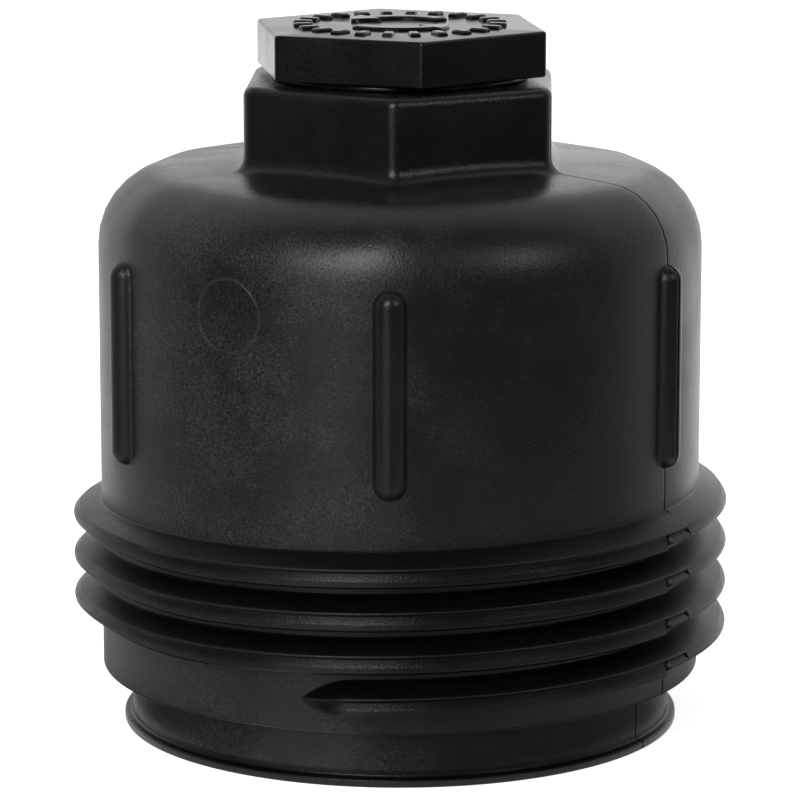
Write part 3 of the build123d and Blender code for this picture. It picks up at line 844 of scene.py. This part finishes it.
@dataclass
class Bowl:
    """The moulded bowl: wall, shoulder, wrench boss, threads, ribs and the socket tube inside."""

    # mouth and body: radii and heights
    bore: float = 30.0
    neck: float = 32.5
    rim: float = 33.5
    rim_height: float = 1.0
    neck_top: float = 7.0
    body: float = BODY_RADIUS
    corner_height: float = 66.547  # where the body's side and the deck would meet
    shoulder_bend: float = 9.0
    deck_slope: float = 5.0  # degrees above level
    # wrench boss and the hole through it
    boss_flats: float = 36.0
    boss_bend: float = 1.8
    boss_top: float = 77.8115
    boss_foot_bend: float = 2.0
    hole: float = 12.15
    tapped_crest: float = 11.2
    tapped_halves: tuple[float, float] = (0.68, 0.13)
    tapped_margin: float = 1.0
    # inside: ceiling, tube, its groove (heights and depth) and its windows
    ceiling: float = 63.5
    ceiling_bend: float = 8.0
    tube: tuple[float, float] = (12.4, 14.5)
    tube_foot: float = 50.8
    groove: tuple[float, float, float] = (52.3, 53.5, 13.9)
    window: tuple[float, float] = (58.5, 62.5)
    window_width: float = 6.0
    windows: int = 4
    # mesh: columns round the body, how they crowd at the boss's corners, and the longest row
    columns: int = 360
    crowd: float = 0.72
    longest: float = 3.2
    unevenness: float = 0.02
    # outer thread, angles in degrees from -Y
    parting: float = 60.7
    crest: float = 39.4
    pitch: float = 5.0
    first_rise: float = 11.1
    thread_span: tuple[float, float] = (-17.0, 1230.0)
    thread_lead: float = 10.0
    station: float = 2.0
    insert: float = 6.2
    slim_to_flat: tuple[float, float] = (226.0, 268.0)  # degrees after the parting line
    notch: float = 0.4
    notch_depth: float = 0.6
    # grip ribs
    rib_heights: tuple[float, float] = (34.3, 58.3)
    rib_round: float = 1.85
    rib_stand: float = 1.6
    rib_sink: float = 1.0
    rib_rows: int = 12
    rib_columns: int = 56
    rib_angles: tuple[float, ...] = (0.0, 61.2, 118.8, 180.0, 241.2, 298.8)

    def wall(self) -> Shell:
        """The turned body, boss, ceiling, tube and bore in one closed surface.

        Each column of the profile has its own boss radius.  The outer wall carries a swell of a few
        hundredths of a millimetre, and the tube's windows are cut out and lined.
        """
        angles = hexagon_columns(self.columns, self.crowd)
        boss = hexagon_radius(angles, self.boss_flats, self.boss_bend)
        deck = self.corner_height + (self.body - boss) * math.tan(math.radians(self.deck_slope))
        inner, outer = self.tube
        low, high, deep = self.groove
        corners = [
            (self.bore, 0.0, 0.3), (self.rim, 0.0, 0.28), (self.rim, self.rim_height, 0.28),
            (self.neck, self.rim_height, 0.35), (self.neck, self.neck_top, 0.4),
            (self.body, self.neck_top, 0.3), (self.body, self.corner_height, self.shoulder_bend),
            (boss, deck, self.boss_foot_bend), (boss, self.boss_top, 1.15),
            (self.hole, self.boss_top, 0.25), (self.hole, self.ceiling, 0.0),
            (inner, self.ceiling, 0.0), (inner, self.window[1], 0.0), (inner, self.window[0], 0.0),
            (inner, self.tube_foot, 0.25), (outer, self.tube_foot, 0.25), (outer, low, 0.0),
            (deep, low, 0.0), (deep, high, 0.0), (outer, high, 0.0), (outer, self.window[0], 0.0),
            (outer, self.window[1], 0.0), (outer, self.ceiling, 0.4),
            (self.bore, self.ceiling, self.ceiling_bend),
        ]  # fmt: skip
        line = profile_columns(corners, angles, 7)
        windowed = (np.abs(line[:, 0, 0] - inner) < 1e-6) | (np.abs(line[:, 0, 0] - outer) < 1e-6)
        line = self.divide(line, windowed)
        r, z = line[..., 0], line[..., 1]
        outside = (r > self.neck + 0.5) & (z > self.neck_top + 0.5)
        wave = swell(r * np.sin(angles), -r * np.cos(angles), z)
        shell = turned(r + np.where(outside, self.unevenness * wave, 0), z, angles)
        return self.cut_windows(shell, r[:, 0], z[:, 0], angles)

    def divide(self, line: np.ndarray, whole: np.ndarray) -> np.ndarray:
        """Divides the profile's long sides, but not those along the windowed tube.

        Args:
            line: the profile, shape (rows, columns, 2).
            whole: which rows lie on the tube's two walls.

        Returns:
            The denser profile.
        """
        starts = np.flatnonzero(~(whole & np.roll(whole, -1)))
        parts, done = [], 0
        following = np.roll(line, -1, 0)
        for k in starts:
            parts.append(line[done:k])
            pieces = math.ceil(np.linalg.norm(following[k] - line[k], axis=-1).max() / self.longest)
            share = np.arange(pieces) / pieces
            parts.append(line[k] + (following[k] - line[k]) * share[:, None, None])
            done = k + 1
        parts.append(line[done:])
        return np.concatenate(parts)

    def cut_windows(self, shell: Shell, r: np.ndarray, z: np.ndarray, angles: np.ndarray) -> Shell:
        """Removes the tube's wall at each window and lines the opening.

        Args:
            shell: the turned surface, rows along the profile and columns round Z.
            r: radius of each row.
            z: height of each row.
            angles: angle of each column.

        Returns:
            The surface with the windows through it, still closed.
        """
        inner, outer = self.tube
        low, high = self.window
        cols = len(angles)
        keys = ((inner, low), (inner, high), (outer, high), (outer, low))
        row = {(k, h): int(np.argmin(np.abs(r - k) + np.abs(z - h))) for k, h in keys}
        corners = [row[key] * cols for key in keys]
        half = math.asin(self.window_width / 2 / outer)
        keep = np.ones(len(shell.faces), bool).reshape(len(r), cols)
        linings = []
        forward = np.allclose(shell.faces[0, 1] - shell.faces[0, 0], 1)
        for window in range(self.windows):
            centre = (window + 0.5) * TURN / self.windows
            js = np.flatnonzero(np.abs(angles + 0.5 * TURN / cols - centre) < half)
            first, last = js[0], js[-1] + 1
            for k in self.tube:
                keep[min(row[k, low], row[k, high]), js] = False
            for h, flip in ((high, False), (low, True)):
                i, o = row[inner, h] * cols, row[outer, h] * cols
                quad = np.stack([i + js, i + js + 1, o + js + 1, o + js], 1)
                linings.append(quad[:, ::-1] if flip else quad)
            for j, flip in ((first, False), (last, True)):
                quad = np.array([[corner + j for corner in corners]])
                linings.append(quad[:, ::-1] if flip else quad)
        lining = np.concatenate(linings)
        if not forward:
            lining = lining[:, ::-1]
        return Shell(shell.points, np.concatenate([shell.faces[keep.ravel()], lining]))

    def thread(self) -> Shell:
        """The outer screw ridge.

        One half of the mould gave it a flat crest with a hollow and a chamfer below, which fades to
        a slim edge towards the half's side.  The other half gave it a thin, lower crest, and an
        insert between the two a bead under the flat one.  A narrow notch marks where the insert
        starts.
        """
        head, foot = ([(self.body + out, z) for out, z in side] for side in (FLANK_TOP, FLANK_FOOT))
        root = head[0][0]
        flat, bead, thin, slim = (
            rounded(head + [(self.crest - depth, z) for depth, z in side] + foot, CREST_BENDS)
            for side in (FLAT_CREST, BEAD_CREST, THIN_CREST, SLIM_CREST)
        )
        dent = np.clip(flat[:, :1] - self.crest + 2 * self.notch_depth, 0, self.notch_depth)
        cut = flat - np.where(flat[:, 1:] < 0.5, dent, 0) * [1.0, 0.0]
        start, end = self.thread_span
        steps = np.linspace(start, end, round((end - start) / self.station))
        change = self.parting - self.insert
        firsts = (change, self.parting, self.parting + 180)
        ends = np.concatenate([np.arange(first, end, 360.0) for first in firsts])
        near = ends[:, None] + np.array([-0.5, -0.25, -0.05, 0.05, 0.25, 0.5])
        turns = np.sort(np.concatenate([steps, near[(near > start) & (near < end)]]))
        turns = turns[np.diff(turns, prepend=start - 1) > 1e-3]
        t = np.clip(np.minimum(turns - start, end - turns) / self.thread_lead, 0, 1)
        off = np.abs((turns - change + 180) % 360 - 180)
        notch = np.clip(1 - off / self.notch, 0, 1)[:, None, None]
        after = ((turns - self.parting) % 360)[:, None, None]
        first, last = self.slim_to_flat
        fade = np.clip((after - first) / (last - first), 0, 1)
        fade = fade * fade * (3 - 2 * fade)
        section = np.where(after < 180, thin, slim * (1 - fade) + flat * fade)
        section = np.where(after > 360 - self.insert, bead, section)
        section = section * (1 - notch) + cut * notch
        return helix_shell(section, root, turns, self.pitch, self.first_rise, t * (2 - t))

    def boss_ridge(self) -> Shell:
        """The inner ridge that the drain plug screws into."""
        span = (self.ceiling + self.tapped_margin, self.boss_top - self.tapped_margin)
        root = self.hole + PLUG_THREAD_SINK
        return plug_thread(root, self.tapped_crest, self.tapped_halves, span, PLUG_PITCH / 2)

    def rib(self, angle: float) -> Shell:
        """One grip rib, a half-buried bar with round ends.

        Its points run round stadium outlines, one within the other.  An outline's half width is the
        circle's radius times the sine of a tilt, and it stands at the cosine, and the first ones
        form the small fillet at the rib's foot.

        Args:
            angle: its place in degrees from -Y.

        Returns:
            The closed rib.
        """
        bottom, top = self.rib_heights
        ball = self.rib_round
        axis = self.body + self.rib_stand - ball
        rise, spread, dip = 0.12, 0.16, 0.06  # of the fillet: above the wall, along it and into it
        foot = math.acos((self.body + rise - axis) / ball)
        tilt = np.linspace(foot, 0, self.rib_rows)
        wide = np.concatenate([[0.0, ball * 0.8, ball * math.sin(foot) + spread], ball * np.sin(tilt)])
        buried = self.body - np.array([self.rib_sink, self.rib_sink, dip])
        out = np.concatenate([buried, axis + ball * np.cos(tilt)])
        u = (np.arange(self.rib_columns) + 0.5) * TURN / self.rib_columns
        straight = (top - bottom) / 2 - ball
        x = wide[:, None] * np.sin(u)
        end = np.sign(np.cos(u))
        z = (top + bottom) / 2 + wide[:, None] * np.cos(u) + end * np.where(wide > 0, straight, 0)[:, None]
        z[-1] = (top + bottom) / 2 + end * straight
        out = out[:, None] + 0 * x
        a, b = math.sin(math.radians(angle)), math.cos(math.radians(angle))
        return grid_shell(out * a + x * b, x * a - out * b, z, False, True)

    def build(self) -> None:
        """Makes the bowl from its wall, ridges and ribs."""
        shells = [self.wall(), self.thread(), self.boss_ridge()]
        shells += [self.rib(angle) for angle in self.rib_angles]
        place("bowl_moulding", shells, Body.BOWL, BOWL_BLACK.build(), ("bowl",))


def plug_thread(
    root: float, crest: float, halves: tuple[float, float], span: tuple[float, float], offset: float
) -> Shell:
    """A thread ridge of the drain plug's pitch whose ends fade out.

    The ridge passes +X at offset above whole multiples of the pitch.

    Args:
        root: radius of its buried side.
        crest: radius of its crest.
        halves: half its height at the root and at the crest.
        span: heights of its first and last end.
        offset: its phase, as a height.

    Returns:
        The ridge.
    """
    corners = [(root, halves[0]), (crest, halves[1]), (crest, -halves[1]), (root, -halves[0])]
    section = rounded(corners, [0, PLUG_THREAD_BEND, PLUG_THREAD_BEND, 0], 2)
    bottom, top = span
    start = 90 + 360 * (bottom - offset) / PLUG_PITCH
    turns = np.arange(start, start + 360 * (top - bottom) / PLUG_PITCH, PLUG_THREAD_STEP)
    t = np.clip(np.minimum(turns - turns[0], turns[-1] - turns) / PLUG_THREAD_FADE, 0, 1)
    return helix_shell(section, root, turns, PLUG_PITCH, offset - PLUG_PITCH / 4, t * (2 - t))


# ---------------------------------------------------------------------------- drain plug and gasket
@dataclass
class DrainPlug:
    """The hexagonal plug with its tick ring and turning arrows."""

    # head: heights, hexagon and how far it is turned, in degrees
    seat: float = 78.6115
    top: float = 84.0115
    flats: float = 32.0
    bend: float = 0.6
    edge: float = 0.4
    turn: float = 10.0
    dish: float = 0.012
    columns: int = 300
    crowd: float = 0.85
    # shank: radii and heights
    core: float = 10.9
    crest: float = 12.0
    foot: float = 65.6
    hollow: float = 7.5
    hollow_top: float = 80.1115
    thread: tuple[float, float] = (67.6, 76.81)
    thread_halves: tuple[float, float] = (0.72, 0.12)
    # marks on its top
    mark_height: float = 0.42
    mark_root: float = 0.3
    mark_bevel: float = 0.18
    ticks: int = 24
    tick_radius: float = 11.6
    tick_length: float = 2.2
    tick_width: float = 1.2
    arrow_radius: float = 6.2
    arrow_width: float = 1.8
    arrow_sweep: float = 120.0
    arrow_head: float = 4.6

    def head(self) -> Shell:
        """The head, shank and hollow from pole to pole, with the head's radius its hexagon's."""
        angles = hexagon_columns(self.columns, self.crowd)
        flat = hexagon_radius(angles, self.flats, self.bend)
        corners = [
            (0.0, self.top, 0.0), (flat, self.top, self.edge), (flat, self.seat, self.edge * 0.8),
            (self.core, self.seat, 0.2), (self.core, self.foot, 0.5), (self.hollow, self.foot, 0.4),
            (self.hollow, self.hollow_top, 0.4), (0.0, self.hollow_top, 0.0),
        ]  # fmt: skip
        line = profile_columns(corners, angles, 4)
        # the poles are at radius 0, and the upper one comes first
        first = int(np.argmin(line[:, 0, 0] - line[:, 0, 1] * 1e-3))
        line = np.roll(line, -first, 0)
        r, z = line[..., 0], line[..., 1]
        dish = self.dish * swell(4 * r * np.sin(angles), -4 * r * np.cos(angles), 0 * r)
        z = z + np.where((r > 0.1) & (z > self.top - 0.01), -np.abs(dish), 0)
        return turned(r, z, angles + math.radians(self.turn), closed=False)

    def mark(self, path: np.ndarray, across: np.ndarray, half: np.ndarray) -> Shell:
        """A raised mark on the head's top from its middle line, the way across it and its half width."""
        low, high = self.top - self.mark_root, self.top + self.mark_height
        return ribbon(path, across, half, low, high, self.mark_bevel)

    def tick(self, angle: float) -> Shell:
        """One raised tick of the ring, pointing outwards at an angle in degrees from +X."""
        a = math.radians(angle)
        out, side = np.array([math.cos(a), math.sin(a)]), np.array([-math.sin(a), math.cos(a)])
        reach = np.linspace(-0.5, 0.5, 4)[:, None] * self.tick_length + self.tick_radius
        return self.mark(out * reach, np.tile(side, (4, 1)), np.full(4, self.tick_width / 2))

    def arrow(self, middle: float) -> Shell:
        """One curved arrow centred at an angle in degrees from +X, its head at the later end."""
        neck = math.degrees(self.arrow_head * 0.8 / self.arrow_radius)
        first, last = middle - self.arrow_sweep / 2, middle + self.arrow_sweep / 2
        shoulder = last - neck
        shaft, head = np.linspace(first, shoulder, 20), np.linspace(shoulder + 0.6, last, 7)
        angles = np.concatenate([shaft, [shoulder + 0.4], head])
        half = np.full(len(angles), self.arrow_width / 2)
        wide = angles > shoulder + 0.2
        half[wide] = np.maximum(self.arrow_head / 2 * (last - angles[wide]) / neck, 0.05)
        a = np.radians(angles)
        unit = np.stack([np.cos(a), np.sin(a)], 1)
        return self.mark(unit * self.arrow_radius, unit, half)

    def build(self) -> None:
        """Makes the plug with its marks and thread."""
        root = self.core - PLUG_THREAD_SINK
        shells = [self.head(), plug_thread(root, self.crest, self.thread_halves, self.thread, 0.0)]
        shells += [self.tick(360 / self.ticks * k + self.turn) for k in range(self.ticks)]
        shells += [self.arrow(90 + self.turn), self.arrow(270 + self.turn)]
        place("plug_moulding", shells, Body.PLUG, PLUG_BLACK.build(), ("drain_plug",))


@dataclass
class Gasket:
    """The flat rubber ring under the plug's head, bulged where it is squeezed."""

    inner: float = 12.3
    outer: float = 15.3
    bottom: float = 77.8115
    thickness: float = 0.8
    inner_bend: float = 0.15
    outer_bend: float = 0.38
    columns: int = 180

    def build(self) -> None:
        """Makes the ring."""
        low, high = self.bottom, self.bottom + self.thickness
        corners = [(self.inner, low), (self.outer, low), (self.outer, high), (self.inner, high)]
        line = rounded(corners, [self.inner_bend, self.outer_bend, self.outer_bend, self.inner_bend], 6)
        ring = turned(line[:, 0], line[:, 1], np.arange(self.columns) * TURN / self.columns)
        place("gasket_ring", [ring], Body.GASKET, GASKET_RUBBER.build(), ("plug_gasket",))


# ---------------------------------------------------------------------------- pieces kept as they are
@dataclass
class CoilSpring:
    """A compression spring of round wire with ground ends, which rides whole on its moving end's body.

    Args:
        node: the CAD node it stands for.
        body: the group its moving end rides on.
        joint: the joint that squeezes it; not used.
        radius: radius of the coil's middle line.
        wire: diameter of the wire.
        heights: heights of its lower and upper seat.
        turns: number of turns.
        travel: how far the joint squeezes it; not used.
        moving: height of the seat that moves; not used.
        rows: circles of wire in one turn.
        columns: points round the wire.
        easing: how much gentler it climbs near its seats, 0 to 1.
    """

    node: str
    body: Body
    joint: str
    radius: float
    wire: float
    heights: tuple[float, float]
    turns: float
    travel: float
    moving: float
    rows: int = 56
    columns: int = 20
    easing: float = 0.6

    def build(self, finish: bpy.types.Material) -> None:
        """Makes the spring in its finish.

        Each row is a circle of wire about a point of the coil's middle line, which climbs more
        gently near both seats.  The seats grind off what would stand past them, and the first and
        the last row shrink to a point, which closes the ends.
        """
        bottom, top = self.heights
        half = self.wire / 2
        share = np.linspace(0, 1, round(self.turns * self.rows))
        share = np.concatenate([[0.0], share, [1.0]])
        climb = share - self.easing * np.sin(TURN * share) / TURN
        middle = bottom + half / 2 + (top - bottom - half) * climb
        thick = np.where((np.arange(len(share)) % (len(share) - 1)) == 0, 0.0, half)
        v = np.arange(self.columns) * TURN / self.columns
        r = self.radius + thick[:, None] * np.cos(v)
        z = np.clip(middle[:, None] + thick[:, None] * np.sin(v), bottom, top)
        a = (TURN * self.turns * share)[:, None]
        shell = grid_shell(r * np.cos(a), r * np.sin(a), z, False, True)
        name = f"{self.node}_coil"
        coil = place(name, [shell], self.body, finish, (self.node,), 50)
        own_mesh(coil)


@dataclass
class Cartridge:
    """The pull-out cartridge and what presses on it, dressed in their finishes, with the springs."""

    coils: tuple[CoilSpring, ...] = (
        CoilSpring("pressure_spring", Body.PLATE, "plate_press", 17.6, 1.6, (54.5, 63.5), 2.6, 3.0, 54.5),
        CoilSpring("bypass_spring", Body.POPPET, "bypass_open", 4.6, 0.9, (47.1, 53.9), 4.5, 2.5, 53.9),
    )

    def build(self) -> None:
        """Dresses the nodes that keep their CAD shape."""
        cap, seal, spring = CAP_GREY.build(), SEAL_RUBBER.build(), SPRING_STEEL.build()
        plate, glue = PLATE_STEEL.build(), PLASTISOL.build()
        natural, poppet = TUBE_NATURAL.build(), POPPET_NATURAL.build()
        finishes = {
            "top_end_cap": cap, "bottom_end_cap": cap, "top_bond": glue, "bottom_bond": glue,
            "pleated_media": PAPER.build(), "seam_clip": plate, "pleat_band": BEAD_GLUE.build(),
            "centre_tube": natural, "outlet_seal": seal, "check_ring": CHECK_RUBBER.build(),
            "bypass_cage": poppet, "bypass_poppet": poppet, "poppet_seal": seal,
            "grip_ring": seal, "spring_plate": plate, "retaining_ring": spring,
        }  # fmt: skip
        for node, finish in finishes.items():
            dress_node(node, finish)
        for coil in self.coils:
            coil.build(spring)


# ---------------------------------------------------------------------------- studio
@dataclass
class Softbox:
    """One area lamp that faces the object's middle.

    Args:
        azimuth: degrees from -Y towards +X.
        elevation: degrees above level.
        distance: metres from the middle.
        width: metres across.
        height: metres up and down.
        power: watts.
        mirrored: whether the object's reflections show it.
    """

    azimuth: float
    elevation: float
    distance: float
    width: float
    height: float
    power: float
    mirrored: bool = True


def towards(azimuth: float, elevation: float) -> Vector:
    """The unit vector at an azimuth from -Y towards +X and an elevation, in degrees."""
    a, e = math.radians(azimuth), math.radians(elevation)
    return Vector((math.sin(a) * math.cos(e), -math.cos(a) * math.cos(e), math.sin(e)))


def looked_at(tree: bpy.types.NodeTree) -> bpy.types.NodeSocket:
    """A socket that is 1 where the camera, a reflection or glass looks, and 0 for other light."""
    path = tree.nodes.new("ShaderNodeLightPath")
    seen = path.outputs["Is Camera Ray"]
    for name in ("Is Glossy Ray", "Is Transmission Ray"):
        either = tree.nodes.new("ShaderNodeMath")
        either.operation = "MAXIMUM"
        tree.links.new(seen, either.inputs[0])
        tree.links.new(path.outputs[name], either.inputs[1])
        seen = either.outputs[0]
    return seen


@dataclass
class Studio:
    """A pale floor, dark cards that glow in parts as painted reflections, soft lamps and the camera."""

    # camera: what it looks at, its angles in degrees, its distance in metres and its lens
    middle: Vector = field(default_factory=lambda: Vector((0, 0, 38.7)) * MM)
    camera_azimuth: float = 1.8
    camera_elevation: float = 11.32
    camera_distance: float = 0.5216
    lens: float = 194.9
    # floor and cloths: sizes in metres and angles in degrees from -Y
    floor_half: float = 3.0
    cloth_span: tuple[float, float] = (-128.0, 128.0)
    cloth_near: float = 0.0345
    cloth_far: float = 1.4
    cloth_lift: float = 0.0008
    ceiling: float = 1.1
    # light: the world's level, and how brightly parts of the cloth glow as painted reflections and where
    # they lie
    ambient: float = 0.3
    reflection_glow_band: tuple[float, float, float] = (-36.0, -7.0, 5.0)
    reflection_glow_level: float = 0.55
    sides: tuple[float, float] = (74.0, 108.0)
    side_level: float = 0.5
    near_level: float = 0.5
    boxes: tuple[Softbox, ...] = (
        Softbox(-18, 29, 0.8, 0.28, 0.38, 2.4),
        Softbox(50, 29, 0.8, 0.26, 0.26, 0.6),
        Softbox(-80, 35, 0.9, 0.5, 0.5, 1.8, False),
        Softbox(20, 75, 0.9, 0.3, 0.3, 1.2, False),
    )

    def world(self) -> None:
        """White where the camera, reflections and glass look, and a lower light on everything else."""
        world = bpy.data.worlds.new("studio_world")
        bpy.context.scene.world = world
        world.use_nodes = True
        tree = world.node_tree
        background = next(n for n in tree.nodes if n.type == "BACKGROUND")
        level = tree.nodes.new("ShaderNodeMapRange")
        level.inputs["To Min"].default_value = self.ambient
        tree.links.new(looked_at(tree), level.inputs["Value"])
        tree.links.new(level.outputs["Result"], background.inputs["Strength"])
        background.inputs["Color"].default_value = (1, 1, 1, 1)

    def floor(self) -> None:
        """A white floor that shows its shadows from above and nothing from below."""
        g = Graph("studio_floor")
        g.constants(Base_Color=(0.93, 0.93, 0.93, 1), Roughness=0.9, Specular_IOR_Level=0.1)
        g.link(g.times(looked_at(g.tree), 0.8), g.shader.inputs["Emission Strength"])
        g.shader.inputs["Emission Color"].default_value = (1, 1, 1, 1)
        clear = g.node("BsdfTransparent")
        mix = g.node("MixShader")
        back = g.node("NewGeometry").outputs["Backfacing"]
        g.link(back, mix.inputs[0])
        g.link(g.shader.outputs[0], mix.inputs[1])
        g.link(clear.outputs[0], mix.inputs[2])
        g.link(mix.outputs[0], g.out.inputs["Surface"])
        x = self.floor_half * np.array([[-1.0, 1.0], [-1.0, 1.0]])
        self.card("floor", np.stack([x, x.T, np.zeros((2, 2))], -1), g.material)

    def card(self, name: str, grid: np.ndarray, finish: bpy.types.Material) -> bpy.types.Object:
        """A stage surface from a grid of points in metres, shape (rows, columns, 3)."""
        mesh = bpy.data.meshes.new(name)
        faces = grid_faces(*grid.shape[:2], False, False)
        mesh.from_pydata(grid.reshape(-1, 3).tolist(), [], faces.tolist())
        mesh.materials.append(finish)
        obj = bpy.data.objects.new(name, mesh)
        bpy.context.scene.collection.objects.link(obj)
        obj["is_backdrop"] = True
        return obj

    def cloth(self) -> None:
        """A cloth in front and overhead that only reflections see.

        It is black ahead of the object and glows as painted reflections: brightly in one band to the left
        of the camera, fainter in a ring on the floor near the object, and grey towards the sides, where the
        white room behind the object begins.
        """
        g = Graph("glowing_reflection_cloth")
        g.constants(Base_Color=(0.004, 0.004, 0.004, 1), Roughness=0.95, Specular_IOR_Level=0.0)
        azimuth = g.maths("ARCTAN2", g.off_plane((1, 0, 0)), g.off_plane((0, -1, 0)))
        first, last, soft = (math.radians(v) for v in self.reflection_glow_band)
        rise = g.span(azimuth, first - soft, first + soft)
        band = g.times(rise, g.span(azimuth, last - soft, last + soft, 1, 0))
        low = g.span(g.height(), 0.0, 0.9, self.reflection_glow_level, 0.1)
        dark_until, pale_from = (math.radians(v) for v in self.sides)
        sides = g.span(g.maths("ABSOLUTE", azimuth), dark_until, pale_from, 0.0, self.side_level)
        aside = g.span(g.maths("ABSOLUTE", g.off_plane((1, 0, 0))), 0.02, 0.06, 0.55, 1.0)
        inner = g.span(g.off_axis(), 0.042, 0.05)
        outer = g.span(g.off_axis(), 0.09, 0.2, self.near_level, 0.0)
        near = g.times(aside, g.times(outer, inner))
        level = g.maths("MAXIMUM", g.times(band, low), g.maths("MAXIMUM", sides, near))
        # Painted reflections: the cloth glows, and only reflections see it.
        g.link(level, g.shader.inputs["Emission Strength"])
        g.shader.inputs["Emission Color"].default_value = (1, 1, 1, 1)
        far, lift = self.cloth_far, self.cloth_lift
        front = ((self.cloth_near, lift), (0.3, lift), (far, lift), (far, 0.5), (far, self.ceiling))
        above = ((0.0, self.ceiling), (far + 0.4, self.ceiling))
        cards = (("front_cloth", self.cloth_span, front), ("ceiling_cloth", (0, 360), above))
        for name, span, profile in cards:
            a = np.radians(np.linspace(*span, 73))
            grid = np.stack([np.stack([r * np.sin(a), -r * np.cos(a), 0 * a + z], -1) for r, z in profile])
            cloth = self.card(name, grid, g.material)
            cloth.visible_camera = cloth.visible_diffuse = cloth.visible_shadow = False

    def lamps(self) -> None:
        """The area lamps."""
        for k, box in enumerate(self.boxes):
            light = bpy.data.lights.new(f"softbox_{k}", "AREA")
            light.shape, light.energy = "RECTANGLE", box.power
            light.size, light.size_y = box.width, box.height
            lamp = bpy.data.objects.new(f"softbox_{k}", light)
            direction = towards(box.azimuth, box.elevation)
            lamp.location = self.middle + direction * box.distance
            lamp.rotation_euler = direction.to_track_quat("Z", "Y").to_euler()
            lamp.visible_glossy = box.mirrored
            bpy.context.scene.collection.objects.link(lamp)

    def camera(self) -> None:
        """The scene's camera."""
        lens = bpy.data.cameras.new("camera")
        lens.lens, lens.sensor_width = self.lens, 36.0
        camera = bpy.data.objects.new("camera", lens)
        direction = towards(self.camera_azimuth, self.camera_elevation)
        camera.location = self.middle + direction * self.camera_distance
        camera.rotation_euler = direction.to_track_quat("Z", "Y").to_euler()
        bpy.context.scene.collection.objects.link(camera)
        bpy.context.scene.camera = camera

    def build(self) -> None:
        """Sets up the world, floor, cards, lamps and camera."""
        bpy.context.scene.view_settings.view_transform = "Standard"
        self.world()
        self.floor()
        self.cloth()
        self.lamps()
        self.camera()


def main() -> None:
    """Builds the object's looks and the studio, and logs its box beside the CAD's."""
    logging.basicConfig(level=logging.INFO, format="%(name)s: %(message)s")
    for part in (Bowl(), DrainPlug(), Gasket(), Cartridge(), Studio()):
        part.build()
    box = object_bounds()
    for axis, *ends in zip("xyz", *box, *CAD_BOX):
        log.info("%s: %.3f to %.3f mm (CAD %.3f to %.3f)", axis, *(end / MM for end in ends))


if __name__ == "__main__":
    main()
